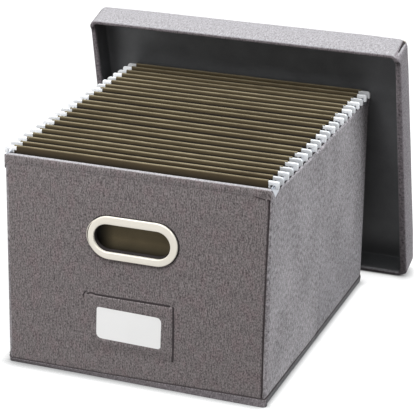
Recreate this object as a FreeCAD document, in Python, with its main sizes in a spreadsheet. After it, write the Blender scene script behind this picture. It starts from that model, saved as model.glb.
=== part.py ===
import FreeCAD, Part
import math
import os
import Sketcher
from FreeCAD import Placement, Rotation, Vector

# A collapsible cloth-covered box for hanging files, open, with its lid leaning against the back.
# Millimetres. +Z is up, the front is at -Y, and the origin is the centre of the box's underside.

FOLDERS = 11
RIGHT_ANGLE = 90

# Driving dimensions: alias, value, meaning.
DRIVING = [
    ("box_width", 312.0, "box outside, left to right"),
    ("box_depth", 381.0, "box outside, front to rear"),
    ("box_height", 252.0, "top of the front and rear walls"),
    ("side_drop", 8.0, "side walls end this much lower"),
    ("cloth", 0.8, "thickness of the linen cover"),
    ("board", 3.0, "thickness of the wall boards"),
    ("lining", 0.7, "thickness of the inner lining"),
    ("corner_round", 3.0, "outer radius of the sewn upright corners"),
    ("seam_reach", 4.0, "how far a corner seam strip reaches along each wall"),
    ("top_round", 6.0, "radius of the top corners of the front and rear walls"),
    ("top_hem", 7.0, "height of the hem on the front and rear walls"),
    ("hem_cloth", 0.6, "thickness of that hem"),
    ("hem_round", 1.5, "edge radius of that hem"),
    ("base_hem", 7.0, "height of the hem round the base"),
    ("base_proud", 0.6, "how far the base hem stands out from the walls"),
    ("base_round", 2.0, "radius of the base's lower edge"),
    ("base_thick", 3.5, "thickness of the sewn-in base board"),
    ("insert_thick", 3.0, "thickness of the loose base insert"),
    ("insert_play", 0.5, "gap round the base insert"),
    ("fold_gap", 1.5, "gap between the two half boards of a side wall, at the crease"),
    ("rail_thick", 1.6, "thickness of the file rails"),
    ("rail_bury", 18.0, "how deep a rail sits in its board"),
    ("rail_rise", 8.6, "how far a rail stands above the side wall"),
    ("rail_round", 0.6, "edge radius along the top of a rail"),
    ("rail_setback", 1.0, "from the end of a side board to the end of its rail"),
    ("handle_length", 108.5, "handle ring outside, along X"),
    ("handle_height", 50.5, "handle ring outside, along Z"),
    ("handle_band", 10.0, "width of the handle ring's flange"),
    ("handle_flange", 2.5, "thickness of the handle ring's flange"),
    ("handle_edge", 1.2, "edge radius of that flange"),
    ("handle_neck", 1.5, "wall of the sleeve that passes through the panel"),
    ("handle_fit", 0.2, "gap between that sleeve and the panel"),
    ("handle_backing", 1.2, "thickness of the inner clamping ring"),
    ("handle_offset", -3.0, "handle centre, from the middle of the wall"),
    ("handle_level", 171.0, "handle centre, above the floor"),
    ("pocket_width", 107.0, "label pocket patch, along X"),
    ("pocket_height", 66.0, "label pocket patch, along Z"),
    ("pocket_offset", -8.0, "pocket centre, from the middle of the wall"),
    ("pocket_level", 66.5, "pocket centre, above the floor"),
    ("pocket_round", 3.0, "corner radius of the patch"),
    ("window_width", 77.0, "window in the patch, along X"),
    ("window_height", 37.0, "window in the patch, along Z"),
    ("window_round", 5.0, "corner radius of the window"),
    ("card_width", 89.0, "label card, along X"),
    ("card_height", 51.0, "label card, along Z"),
    ("card_thick", 0.4, "thickness of the label card"),
    ("card_play", 0.15, "gap in front of and behind the card"),
    ("card_side_gap", 0.5, "gap beside and below the card"),
    ("row_front_gap", 7.0, "from the front lining to the first folder"),
    ("row_rear_gap", 6.5, "from the last folder to the rear lining"),
    ("row_wander", 2.5, "how far the folders stray from even spacing"),
    ("wander_angle", 36.0, "phase step of that straying, in degrees"),
    ("flap_gap", 15.4, "from bar to bar within one folder"),
    ("folder_side_gap", 3.0, "from a folder's edge to the side lining"),
    ("folder_floor_gap", 16.0, "from the base insert to a folder's underside"),
    ("folder_sheet", 0.5, "thickness of the folder stock"),
    ("folder_fold", 3.0, "outer radius of the folder's bottom folds"),
    ("sleeve_width", 3.8, "sleeve round a bar, outside, along Y"),
    ("sleeve_height", 15.0, "sleeve round a bar, outside, along Z"),
    ("bar_thick", 2.4, "thickness of the hanger bars"),
    ("bar_height", 8.0, "height of the hanger bars"),
    ("bar_fit", 0.3, "gap between a bar's top and its sleeve"),
    ("hook_height", 4.5, "hook above its seat on the rail"),
    ("hook_step", 0.4, "a hook's top lies this much below its bar's top"),
    ("hook_seat", 0.2, "gap between a hook and its rail"),
    ("hook_play", 1.6, "gap between a hook's inner side and its rail"),
    ("hook_clear", 0.6, "gap between a hook's tip and the side wall"),
    ("hook_tip", 3.9, "width of a hook's tip"),
    ("hook_tip_round", 1.56, "corner radius of a hook's tip"),
    ("hook_nub", 3.5, "how far a hook's inner nub reaches below its seat"),
    ("hook_lift", 4.6, "height of the tip above the side wall's top edge"),
    ("hook_round", 2.4, "outer corner radius of a hook"),
    ("lid_depth", 38.0, "lid outside, from its rim to its top"),
    ("lid_board", 2.5, "thickness of the lid's boards"),
    ("lid_lining", 0.6, "thickness of the lid's lining"),
    ("lid_end_gap", 5.4, "from the box's front or rear to the inside of the closed lid"),
    ("lid_hook_gap", 0.9, "from the hooks' tips to the inside of the closed lid"),
    ("lid_corner", 5.0, "radius of the lid's corners"),
    ("lid_hem", 11.0, "how far the cover turns in over the lid's rim"),
    ("lid_lean_angle", 15.56, "lean of the lid from upright, in degrees"),
    ("lid_shift", 4.2, "the lid's centre, to the right of the box's"),
    ("lid_clear", 0.3, "gap between the leaning lid and the rear hem"),
]


class Size:
    # A length or an angle: its present value and the sheet expression that gives it.
    def __init__(self, value, text):
        self.value = value
        self.text = text

    def __add__(self, other):
        other = size(other)
        return Size(self.value + other.value, f"({self.text} + {other.text})")

    def __sub__(self, other):
        other = size(other)
        return Size(self.value - other.value, f"({self.text} - {other.text})")

    def __mul__(self, other):
        other = size(other)
        return Size(self.value * other.value, f"({self.text} * {other.text})")

    def __truediv__(self, other):
        other = size(other)
        return Size(self.value / other.value, f"({self.text} / {other.text})")

    def __neg__(self):
        return Size(-self.value, f"(-1 * {self.text})")


def size(number):
    return number if isinstance(number, Size) else Size(number, repr(number))


def sine(angle):
    return Size(math.sin(math.radians(angle.value)), f"sin({angle.text} * 1 deg)")


def cosine(angle):
    return Size(math.cos(math.radians(angle.value)), f"cos({angle.text} * 1 deg)")


doc = FreeCAD.newDocument("file_box")
sheet = doc.addObject("Spreadsheet::Sheet", "dims")
d = {}
for row, (alias, value, meaning) in enumerate(DRIVING, start=1):
    sheet.set(f"A{row}", meaning)
    sheet.set(f"B{row}", str(value))
    sheet.setAlias(f"B{row}", alias)
    d[alias] = Size(value, f"dims.{alias}")
doc.recompute()

# Sizes and places that follow from the driving dimensions
half_width = d["box_width"] / 2
half_depth = d["box_depth"] / 2
wall = d["cloth"] + d["board"] + d["lining"]
side_top = d["box_height"] - d["side_drop"]
base_top = d["cloth"] + d["base_thick"]
insert_top = base_top + d["insert_thick"]
rail_inner = half_width - d["cloth"] - d["board"]
rail_top = side_top + d["rail_rise"]
hook_underside = rail_top + d["hook_seat"]
hook_top = hook_underside + d["hook_height"]
hook_reach = half_width + d["hook_clear"] + d["hook_tip"]
bar_top = hook_top + d["hook_step"]
folder_top = bar_top + d["bar_fit"] + d["folder_sheet"]
folder_bottom = insert_top + d["folder_floor_gap"]
folder_half = half_width - wall - d["folder_side_gap"]
folder_depth = d["flap_gap"] + d["sleeve_width"]
row_first = wall - half_depth + d["row_front_gap"] + folder_depth / 2
row_last = half_depth - wall - d["row_rear_gap"] - folder_depth / 2
pitch = (row_last - row_first) / (FOLDERS - 1)
lid_wall = d["cloth"] + d["lid_board"] + d["lid_lining"]
lid_half_x = half_depth + d["lid_end_gap"] + lid_wall
lid_half_y = hook_reach + d["lid_hook_gap"] + lid_wall
nothing = size(0)

parts = []


# Sketch outlines

def heading(start, end):
    dx = end[0].value - start[0].value
    dy = end[1].value - start[1].value
    return (0, int(math.copysign(1, dy))) if abs(dx) < abs(dy) else (int(math.copysign(1, dx)), 0)


def polygon(*corners):
    # A closed outline of edges along the sketch's axes. A corner is (x, y) or (x, y, radius).
    # Each edge is its start, its arc's centre or None, and whether the arc turns left.
    edges = []
    for k, corner in enumerate(corners):
        x, y = corner[:2]
        if len(corner) == 2:
            edges.append(((x, y), None, True))
            continue
        radius = corner[2]
        ix, iy = heading(corners[k - 1], corner)
        ox, oy = heading(corner, corners[(k + 1) % len(corners)])
        centre = (x + radius * (ox - ix), y + radius * (oy - iy))
        edges.append(((x - radius * ix, y - radius * iy), centre, ix * oy - iy * ox > 0))
        edges.append(((x + radius * ox, y + radius * oy), None, True))
    return edges


def rectangle(low_x, low_y, high_x, high_y, radius=None):
    corners = [(low_x, low_y), (high_x, low_y), (high_x, high_y), (low_x, high_y)]
    if radius is not None:
        corners = [(x, y, radius) for x, y in corners]
    return polygon(*corners)


def stadium(x, y, length, height):
    radius = height / 2
    run = length / 2 - radius
    left = x - run
    right = x + run
    low = y - radius
    high = y + radius
    return [((left, low), None, True), ((right, low), (right, y), True),
            ((right, high), None, True), ((left, high), (left, y), True)]


def point(place):
    return Vector(place[0].value, place[1].value, 0)


def trace(sketch, edges):
    first = sketch.GeometryCount
    count = len(edges)
    pins = []
    for k, (start, centre, left_turn) in enumerate(edges):
        ends = [point(start), point(edges[(k + 1) % count][0])]
        if centre is None:
            sketch.addGeometry(Part.LineSegment(*ends), False)
        else:
            middle = point(centre)
            spokes = [end - middle for end in ends]
            angles = [math.atan2(spoke.y, spoke.x) for spoke in spokes]
            circle = Part.Circle(middle, Vector(0, 0, 1), spokes[0].Length)
            sweep = angles if left_turn else angles[::-1]
            sketch.addGeometry(Part.ArcOfCircle(circle, *sweep), False)
            pins.append(("DistanceX", first + k, 3, centre[0]))
        entry = 1 if left_turn else 2
        pins.append(("DistanceX", first + k, entry, start[0]))
        pins.append(("DistanceY", first + k, entry, start[1]))
    for k, edge in enumerate(edges):
        after = (k + 1) % count
        leave = 2 if edge[2] else 1
        enter = 1 if edges[after][2] else 2
        sketch.addConstraint(Sketcher.Constraint("Coincident", first + k, leave, first + after, enter))
    for kind, edge, vertex, place in pins:
        number = sketch.addConstraint(Sketcher.Constraint(kind, -1, 1, edge, vertex, place.value))
        sketch.setExpression(f"Constraints[{number}]", place.text)


# Bodies and features

def new_body(label):
    body = doc.addObject("PartDesign::Body", label)
    body.Label = label
    parts.append(body)
    return body


def new_sketch(body, role, level, outlines):
    sketch = body.newObject("Sketcher::SketchObject", f"{body.Label}_sketch")
    support = [plane for plane in body.Origin.OriginFeatures if plane.Role == role]
    sketch.AttachmentSupport = [(support[0], "")]
    sketch.MapMode = "FlatFace"
    sketch.setExpression("AttachmentOffset.Base.z", level.text)
    for edges in outlines:
        trace(sketch, edges)
    return sketch


def pad(body, role, low, high, *outlines):
    # The XZ plane faces -Y, so a pad on it starts at its far end.
    level = -high if role == "XZ_Plane" else low
    feature = body.newObject("PartDesign::Pad", f"{body.Label}_pad")
    feature.Profile = new_sketch(body, role, level, outlines)
    feature.setExpression("Length", (high - low).text)
    return feature


def pocket(body, role, low, high, *outlines):
    level = -low if role == "XZ_Plane" else high
    doc.recompute()
    before = body.Shape.Volume
    feature = body.newObject("PartDesign::Pocket", f"{body.Label}_pocket")
    feature.Profile = new_sketch(body, role, level, outlines)
    feature.setExpression("Length", (high - low).text)
    doc.recompute()
    if body.Shape.Volume >= before:
        raise RuntimeError(f"the pocket in {body.Label} cuts nothing")
    return feature


def fillet(body, base, radius, wanted):
    doc.recompute()
    names = [f"Edge{n}" for n, edge in enumerate(base.Shape.Edges, start=1) if wanted(edge.BoundBox)]
    feature = body.newObject("PartDesign::Fillet", f"{body.Label}_fillet")
    feature.Base = (base, names)
    feature.setExpression("Radius", radius.text)
    return feature


def face_rear(body):
    body.Placement = Placement(Vector(0, 0, 0), Rotation(Vector(0, 0, 1), 180))


# The base

def make_base():
    out_x = half_width + d["base_proud"]
    out_y = half_depth + d["base_proud"]
    in_x = half_width - d["cloth"]
    in_y = half_depth - d["cloth"]
    out_round = d["corner_round"] + d["base_proud"]
    in_round = d["corner_round"] - d["cloth"]

    cover = new_body("base_cover")
    pad(cover, "XY_Plane", nothing, d["base_hem"], rectangle(-out_x, -out_y, out_x, out_y, out_round))
    tray = pocket(cover, "XY_Plane", d["cloth"], d["base_hem"], rectangle(-in_x, -in_y, in_x, in_y, in_round))
    fillet(cover, tray, d["base_round"], lambda box: box.ZMax < d["cloth"].value / 2)

    board = new_body("base_board")
    pad(board, "XY_Plane", d["cloth"], base_top, rectangle(-in_x, -in_y, in_x, in_y, in_round))

    insert_x = half_width - wall - d["insert_play"]
    insert_y = half_depth - wall - d["insert_play"]
    insert = new_body("base_insert")
    pad(insert, "XY_Plane", base_top, insert_top, rectangle(-insert_x, -insert_y, insert_x, insert_y))


# The front and rear walls, each with a hand hole

def wall_outline(half, low):
    high = d["box_height"] - d["hem_cloth"]
    return polygon((-half, low), (half, low), (half, high, d["top_round"]), (-half, high, d["top_round"]))


def hand_hole(margin):
    # The panel's hole clears the handle's sleeve by this margin.
    grow = (d["handle_neck"] + margin - d["handle_band"]) * 2
    length = d["handle_length"] + grow
    height = d["handle_height"] + grow
    return stadium(d["handle_offset"], d["handle_level"], length, height)


def make_end_wall(side, turn):
    outer = -half_depth
    layers = [
        ("cover", outer, outer + d["cloth"], half_width - d["seam_reach"], d["base_hem"]),
        ("board", outer + d["cloth"], outer + d["cloth"] + d["board"], half_width - d["corner_round"], base_top),
        ("lining", outer + d["cloth"] + d["board"], outer + wall, half_width - wall, base_top),
    ]
    for name, low, high, half, floor in layers:
        body = new_body(f"{side}_{name}")
        pad(body, "XZ_Plane", low, high, wall_outline(half, floor), hand_hole(d["handle_fit"]))
        turn(body)

    hem = new_body(f"{side}_hem")
    skin = d["hem_cloth"]
    low = d["box_height"] - d["top_hem"]
    inside = outer + wall
    half = half_width - d["seam_reach"] - d["top_round"]
    edge = d["hem_round"]
    section = polygon(
        (outer - skin, low), (outer, low), (outer, d["box_height"] - skin), (inside, d["box_height"] - skin),
        (inside, low), (inside + skin, low), (inside + skin, d["box_height"], edge),
        (outer - skin, d["box_height"], edge))
    pad(hem, "YZ_Plane", -half, half, section)
    turn(hem)


def make_handle(side, turn):
    outer = -half_depth
    inside = outer + wall
    x = d["handle_offset"]
    z = d["handle_level"]
    flange = stadium(x, z, d["handle_length"], d["handle_height"])
    sleeve = hand_hole(nothing)
    opening = hand_hole(-d["handle_neck"])
    ring = new_body(f"{side}_handle_ring")
    pad(ring, "XZ_Plane", outer, inside + d["handle_backing"], sleeve, opening)
    plate = pad(ring, "XZ_Plane", outer - d["handle_flange"], outer, flange, opening)
    front = outer.value - d["handle_flange"].value
    fillet(ring, plate, d["handle_edge"], lambda box: box.YMax < front + d["handle_edge"].value)
    turn(ring)

    spread = (d["handle_band"] - d["handle_edge"] * 2) * 2
    clamp = stadium(x, z, d["handle_length"] - d["handle_band"] * 2 + spread,
                    d["handle_height"] - d["handle_band"] * 2 + spread)
    backing = new_body(f"{side}_handle_backing")
    pad(backing, "XZ_Plane", inside, inside + d["handle_backing"], clamp, hand_hole(d["handle_fit"]))
    turn(backing)


# The side walls, whose boards part at a crease half-way along, and the file rails on them

def make_side_wall(side, turn, halves):
    reach = half_depth - wall
    crease = d["fold_gap"] / 2
    board_outer = half_width - d["cloth"]
    rail_outer = rail_inner + d["rail_thick"]
    rail_low = side_top - d["rail_bury"]
    setback = d["rail_setback"]
    near, far = halves
    spans = [(near, -reach, -crease, -reach + setback, -crease), (far, crease, reach, crease, reach - setback)]
    for half, low, high, rail_from, rail_to in spans:

        board = new_body(f"{side}_board_{half}")
        pad(board, "YZ_Plane", rail_inner, board_outer, rectangle(low, base_top, high, side_top))
        pocket(board, "XY_Plane", rail_low, side_top, rectangle(rail_inner, rail_from, rail_outer, rail_to))
        turn(board)

        rail = new_body(f"{side}_rail_{half}")
        edge = d["rail_round"]
        section = polygon((rail_inner, rail_low), (rail_outer, rail_low),
                          (rail_outer, rail_top, edge), (rail_inner, rail_top, edge))
        pad(rail, "XZ_Plane", rail_from, rail_to, section)
        turn(rail)

    cover = new_body(f"{side}_cover")
    span = half_depth - d["seam_reach"]
    pad(cover, "YZ_Plane", board_outer, half_width, rectangle(-span, d["base_hem"], span, side_top))
    turn(cover)

    lining = new_body(f"{side}_lining")
    pad(lining, "YZ_Plane", half_width - wall, rail_inner, rectangle(-reach, base_top, reach, side_top))
    turn(lining)


def make_corner_seams():
    # Four upright strips, sewn round the corners between the covers.
    reach = d["seam_reach"]
    cloth = d["cloth"]
    outer = d["corner_round"]
    inner = d["corner_round"] - cloth
    strips = []
    for sx in (-1, 1):
        for sy in (-1, 1):
            x = half_width * sx
            y = half_depth * sy
            strips.append(polygon(
                (x - reach * sx, y), (x, y, outer), (x, y - reach * sy), (x - cloth * sx, y - reach * sy),
                (x - cloth * sx, y - cloth * sy, inner), (x - reach * sx, y - cloth * sy)))
    seams = new_body("corner_seams")
    pad(seams, "XY_Plane", d["base_hem"], side_top, *strips)


# The label pocket on the front wall and the card in it

def make_label():
    face = -half_depth
    slot = d["card_thick"] + d["card_play"] * 2
    front = face - slot - d["cloth"]
    x = d["pocket_offset"]
    z = d["pocket_level"]
    low_x = x - d["pocket_width"] / 2
    high_x = x + d["pocket_width"] / 2
    low_z = z - d["pocket_height"] / 2
    high_z = z + d["pocket_height"] / 2
    window = rectangle(x - d["window_width"] / 2, z - d["window_height"] / 2,
                       x + d["window_width"] / 2, z + d["window_height"] / 2, d["window_round"])
    patch = new_body("label_pocket")
    pad(patch, "XZ_Plane", front, face,
        rectangle(low_x, low_z, high_x, high_z, d["pocket_round"]), window)
    card_low = z - d["card_height"] / 2
    card_half = d["card_width"] / 2
    side = d["card_side_gap"]
    pocket(patch, "XZ_Plane", face - slot, face,
           rectangle(x - card_half - side, card_low - side, x + card_half + side, high_z))

    card = new_body("label_card")
    pad(card, "XZ_Plane", face - d["card_play"] - d["card_thick"], face - d["card_play"],
        rectangle(x - card_half, card_low, x + card_half, card_low + d["card_height"]))


# The hanging folders: a folded sheet and two hooked bars each

def folder_section():
    stock = d["folder_sheet"]
    front = -folder_depth / 2
    rear = folder_depth / 2
    sleeve = d["sleeve_width"]
    sleeve_low = folder_top - d["sleeve_height"]
    crown = sleeve / 2 - stock / 2
    bend = d["folder_fold"]
    floor = folder_bottom + stock
    body = polygon(
        (front, folder_bottom, bend), (rear, folder_bottom, bend),
        (rear, folder_top, crown), (rear - sleeve, folder_top, crown), (rear - sleeve, sleeve_low),
        (rear - stock, sleeve_low), (rear - stock, floor, bend - stock), (front + stock, floor, bend - stock),
        (front + stock, sleeve_low), (front + sleeve, sleeve_low),
        (front + sleeve, folder_top, crown), (front, folder_top, crown))
    slots = []
    for low in (front + stock, rear - sleeve + stock):
        slots.append(rectangle(low, sleeve_low + stock, low + sleeve - stock * 2, folder_top - stock))
    return [body] + slots


def bar_section():
    low = bar_top - d["bar_height"]
    nub = hook_underside - d["hook_nub"]
    notch_inner = rail_inner - d["hook_play"]
    notch_outer = half_width + d["hook_clear"]
    tip_low = side_top + d["hook_lift"]
    tip_round = d["hook_tip_round"]
    crown = d["hook_round"]
    edge = folder_half
    return polygon(
        (-edge, low), (edge, low), (edge, nub), (notch_inner, nub), (notch_inner, hook_underside),
        (notch_outer, hook_underside), (notch_outer, tip_low, tip_round), (hook_reach, tip_low, tip_round),
        (hook_reach, hook_top, crown), (edge, hook_top), (edge, bar_top),
        (-edge, bar_top), (-edge, hook_top), (-hook_reach, hook_top, crown),
        (-hook_reach, tip_low, tip_round), (-notch_outer, tip_low, tip_round), (-notch_outer, hook_underside),
        (-notch_inner, hook_underside), (-notch_inner, nub), (-edge, nub))


def make_folder(number):
    stray = d["row_wander"] * sine(d["wander_angle"] * (number - 1))
    place = row_first + pitch * (number - 1) - stray

    folded = new_body(f"folder_{number:02d}_sheet")
    pad(folded, "YZ_Plane", -folder_half, folder_half, *folder_section())

    bars = new_body(f"folder_{number:02d}_bars")
    near = -d["flap_gap"] / 2 - d["bar_thick"] / 2
    bar = pad(bars, "XZ_Plane", near, near + d["bar_thick"], bar_section())
    pattern = bars.newObject("PartDesign::LinearPattern", f"{bars.Label}_pattern")
    pattern.Originals = [bar]
    pattern.Direction = ([axis for axis in bars.Origin.OriginFeatures if axis.Role == "Y_Axis"][0], [""])
    pattern.setExpression("Length", d["flap_gap"].text)
    pattern.Occurrences = 2
    bars.Tip = pattern
    for body in (folded, bars):
        body.setExpression("Placement.Base.y", place.text)


# The lid, drawn lying flat with its rim at z = 0 and leaned against the rear wall afterwards

def frame_outline(inset, round_by=None):
    x = lid_half_x - inset
    y = lid_half_y - inset
    return rectangle(-x, -y, x, y, round_by)


def lean(body):
    slope = sine(d["lid_lean_angle"])
    upright = cosine(d["lid_lean_angle"])
    inner_face = d["lid_depth"] - lid_wall
    hem_back = (half_depth + d["hem_cloth"]) * upright + d["box_height"] * slope
    foot = (hem_back + d["lid_clear"] - inner_face) / upright
    turn = size(RIGHT_ANGLE) - d["lid_lean_angle"]
    body.Placement = Placement(Vector(0, 0, 0), Rotation(Vector(-1, 0, 0), turn.value))
    body.setExpression("Placement.Rotation.Angle", f"{turn.text} * 1 deg")
    body.setExpression("Placement.Base.x", d["lid_shift"].text)
    body.setExpression("Placement.Base.y", (foot - lid_half_y * slope).text)
    body.setExpression("Placement.Base.z", (lid_half_y * upright).text)


def make_lid():
    cloth = d["cloth"]
    corner = d["lid_corner"]
    top = d["lid_depth"]
    under_cover = top - cloth
    under_board = under_cover - d["lid_board"]
    under_lining = under_board - d["lid_lining"]
    core = cloth + d["lid_board"]

    cover = new_body("lid_panel_cover")
    pad(cover, "XY_Plane", under_cover, top, frame_outline(nothing, corner))

    board = new_body("lid_panel_board")
    pad(board, "XY_Plane", under_board, under_cover, frame_outline(cloth, corner - cloth))

    lining = new_body("lid_panel_lining")
    pad(lining, "XY_Plane", under_lining, under_board, frame_outline(core))

    rim = new_body("lid_rim_cover")
    pad(rim, "XY_Plane", nothing, under_cover, frame_outline(nothing, corner), frame_outline(lid_wall))
    pocket(rim, "XY_Plane", cloth, under_cover, frame_outline(cloth, corner - cloth), frame_outline(core))
    pocket(rim, "XY_Plane", d["lid_hem"], under_cover, frame_outline(core - cloth), frame_outline(lid_wall))

    boards = new_body("lid_rim_boards")
    out_x = lid_half_x - cloth
    out_y = lid_half_y - cloth
    in_x = lid_half_x - core
    in_y = lid_half_y - core
    end_x = lid_half_x - corner
    end_y = lid_half_y - corner
    pad(boards, "XY_Plane", cloth, under_board,
        rectangle(-end_x, -out_y, end_x, -in_y), rectangle(-end_x, in_y, end_x, out_y),
        rectangle(-out_x, -end_y, -in_x, end_y), rectangle(in_x, -end_y, out_x, end_y))

    inner = new_body("lid_rim_lining")
    pad(inner, "XY_Plane", d["lid_hem"], under_lining, frame_outline(core), frame_outline(lid_wall))

    for body in (cover, board, lining, rim, boards, inner):
        lean(body)


def stay(body):
    return body


make_base()
make_end_wall("front", stay)
make_end_wall("rear", face_rear)
make_side_wall("right", stay, ("front", "rear"))
make_side_wall("left", face_rear, ("rear", "front"))
make_corner_seams()
make_handle("front", stay)
make_handle("rear", face_rear)
make_label()
for number in range(1, FOLDERS + 1):
    make_folder(number)
make_lid()
doc.recompute()

# Nothing is written unless every feature and every sub-part came out whole.
for item in doc.Objects:
    if "Invalid" in item.State or "Error" in item.State:
        raise RuntimeError(f"{item.Label} failed: {item.State}")
for body in parts:
    if body.Shape.isNull() or not body.Shape.isValid():
        raise RuntimeError(f"{body.Label} has no valid shape")

os.makedirs("parts", exist_ok=True)
for body in parts:
    body.Shape.exportStep(f"parts/{body.Label}.step")
    box = body.Shape.BoundBox
    print(f"{body.Label}: {len(body.Shape.Solids)} solids, {body.Shape.Volume / 1000:.2f} cm3, "
          f"x {box.XMin:.1f} to {box.XMax:.1f}, y {box.YMin:.1f} to {box.YMax:.1f}, "
          f"z {box.ZMin:.1f} to {box.ZMax:.1f}")
print(f"{len(parts)} sub-parts, folder pitch {pitch.value:.2f} mm")
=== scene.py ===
import math

import bmesh
import bpy
from mathutils import Matrix, Vector, noise


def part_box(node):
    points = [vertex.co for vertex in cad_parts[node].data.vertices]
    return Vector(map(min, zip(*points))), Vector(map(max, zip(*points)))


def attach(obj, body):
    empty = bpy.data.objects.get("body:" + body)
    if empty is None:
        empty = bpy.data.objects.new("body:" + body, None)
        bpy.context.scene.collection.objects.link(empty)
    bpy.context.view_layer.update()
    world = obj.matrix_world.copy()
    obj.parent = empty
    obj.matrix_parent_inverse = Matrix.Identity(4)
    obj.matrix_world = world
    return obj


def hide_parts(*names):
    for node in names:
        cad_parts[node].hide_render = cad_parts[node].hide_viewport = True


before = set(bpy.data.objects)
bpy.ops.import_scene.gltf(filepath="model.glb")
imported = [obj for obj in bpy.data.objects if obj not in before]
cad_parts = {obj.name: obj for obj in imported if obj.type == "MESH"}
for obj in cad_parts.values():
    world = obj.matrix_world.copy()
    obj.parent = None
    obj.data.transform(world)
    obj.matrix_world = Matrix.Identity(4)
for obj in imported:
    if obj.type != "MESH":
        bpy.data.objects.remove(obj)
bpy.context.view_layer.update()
mm = 0.001
print("frame loaded with", len(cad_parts), "nodes")


# small tools for shapes, all in millimetres

def ease(share):
    share = min(max(share, 0.0), 1.0)
    return share * share * (3 - 2 * share)


def rollOff(distance, radius, depth):
    # how far cloth drops as it rolls over an edge that is this far away
    if distance >= radius:
        return 0.0
    lean = 1 - max(distance, 0.0) / radius
    return depth * (1 - math.sqrt(max(0.0, 1 - lean * lean)))


def ripple(u, v, lengthU, lengthV, seed):
    return noise.noise(Vector((u / lengthU, v / lengthV, seed)))


def stops(low, high, step, edges=()):
    # grid lines from low to high, with extra lines close to both ends
    first = low + (edges[-1] if edges else 0)
    last = high - (edges[-1] if edges else 0)
    count = max(1, round((last - first) / step))
    inner = [first + (last - first) * k / count for k in range(count + 1)]
    lead = [low] + [low + e for e in edges[:-1]] if edges else []
    tail = [high - e for e in reversed(edges[:-1])] + [high] if edges else []
    return lead + inner + tail


def roundCorners(corners, steps=5):
    # a closed outline from corners (x, y, radius)
    outline = []
    for k, (x, y, radius) in enumerate(corners):
        here = Vector((x, y))
        if radius <= 0:
            outline.append(here)
            continue
        before = (Vector(corners[k - 1][:2]) - here).normalized()
        after = (Vector(corners[(k + 1) % len(corners)][:2]) - here).normalized()
        half = math.acos(max(-1.0, min(1.0, before.dot(after)))) / 2
        middle = here + (before + after).normalized() * (radius / math.sin(half))
        start = here + before * (radius / math.tan(half)) - middle
        end = here + after * (radius / math.tan(half)) - middle
        for step in range(steps + 1):
            share = step / steps
            spoke = (start * (1 - share) + end * share).normalized() * radius
            outline.append(middle + spoke)
    return outline


def inset(outline, amount):
    # a closed counter-clockwise outline moved inwards
    moved = []
    for k, here in enumerate(outline):
        one = (here - outline[k - 1]).normalized()
        two = (outline[(k + 1) % len(outline)] - here).normalized()
        normals = Vector((-one.y, one.x)), Vector((-two.y, two.x))
        across = (normals[0] + normals[1]) / max(0.4, 1 + normals[0].dot(normals[1]))
        moved.append(here + across * amount)
    return moved


def roundRing(halfX, halfY, radius, counts):
    # points (x, y) and outward normals round a rectangle with round corners, the first repeated at the end
    along, across, corner = counts
    points = []
    centres = ((1, -1, -90, across), (1, 1, 0, along), (-1, 1, 90, across), (-1, -1, 180, along))
    for signX, signY, angle, count in centres:
        cx = signX * (halfX - radius)
        cy = signY * (halfY - radius)
        for step in range(corner + 1):
            turn = math.radians(angle + 90 * step / corner)
            out = Vector((math.cos(turn), math.sin(turn)))
            points.append((Vector((cx, cy)) + out * radius, out))
        out = Vector((round(math.cos(math.radians(angle + 90))), round(math.sin(math.radians(angle + 90)))))
        start = points[-1][0]
        reach = 2 * (halfY - radius) if signX == signY * -1 else 2 * (halfX - radius)
        run = Vector((-out.y, out.x))
        for step in range(1, count):
            points.append((start + run * reach * step / count, out))
    points.append(points[0])
    return points


def loft(rings, ringUvs, caps=False):
    # rings of equal length joined in order; caps close the first and the last one
    size = len(rings[0])
    points = [p for ring in rings for p in ring]
    uvs = [uv for ring in ringUvs for uv in ring]
    faces = []
    for r in range(len(rings) - 1):
        for k in range(size - 1):
            a = r * size + k
            faces.append((a, a + 1, a + size + 1, a + size))
    if caps:
        last = (len(rings) - 1) * size
        faces.append(tuple(range(size - 1)))
        faces.append(tuple(last + k for k in range(size - 1)))
    return points, uvs, faces


def slab(us, vs, outer, inner, hole=None):
    # a closed plate between two surfaces over the grid us by vs; hole gives the distance to a cut-out's edge
    wide = len(us)
    cells = {}
    for j in range(len(vs) - 1):
        for i in range(wide - 1):
            middle = ((us[i] + us[i + 1]) / 2, (vs[j] + vs[j + 1]) / 2)
            cells[(i, j)] = hole is None or hole(*middle) > 0
    spots = {}
    for j, v in enumerate(vs):
        for i, u in enumerate(us):
            around = [cells.get((i - a, j - b)) for a in (0, 1) for b in (0, 1)]
            if hole and True in around and False in around:
                gap = hole(u, v)
                slope = Vector((hole(u + 0.01, v) - gap, hole(u, v + 0.01) - gap)).normalized()
                u2, v2 = u - slope.x * gap, v - slope.y * gap
            else:
                u2, v2 = u, v
            spots[j * wide + i] = (u2, v2)
    count = len(spots)
    points = [outer(*spots[k]) for k in range(count)] + [inner(*spots[k]) for k in range(count)]
    uvs = [spots[k] for k in range(count)] * 2
    faces = []
    edges = set()
    for (i, j), kept in cells.items():
        if not kept:
            continue
        a = j * wide + i
        quad = (a, a + 1, a + wide + 1, a + wide)
        faces.append(quad)
        faces.append(tuple(count + k for k in reversed(quad)))
        edges.update((quad[k], quad[(k + 1) % 4]) for k in range(4))
    for a, b in sorted(edges):
        if (b, a) not in edges:
            faces.append((b, a, a + count, b + count))
    return points, uvs, faces


def joinShells(*shells):
    points, uvs, faces = [], [], []
    for shellPoints, shellUvs, shellFaces in shells:
        shift = len(points)
        points += shellPoints
        uvs += shellUvs
        faces += [tuple(k + shift for k in face) for face in shellFaces]
    return points, uvs, faces


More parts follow.
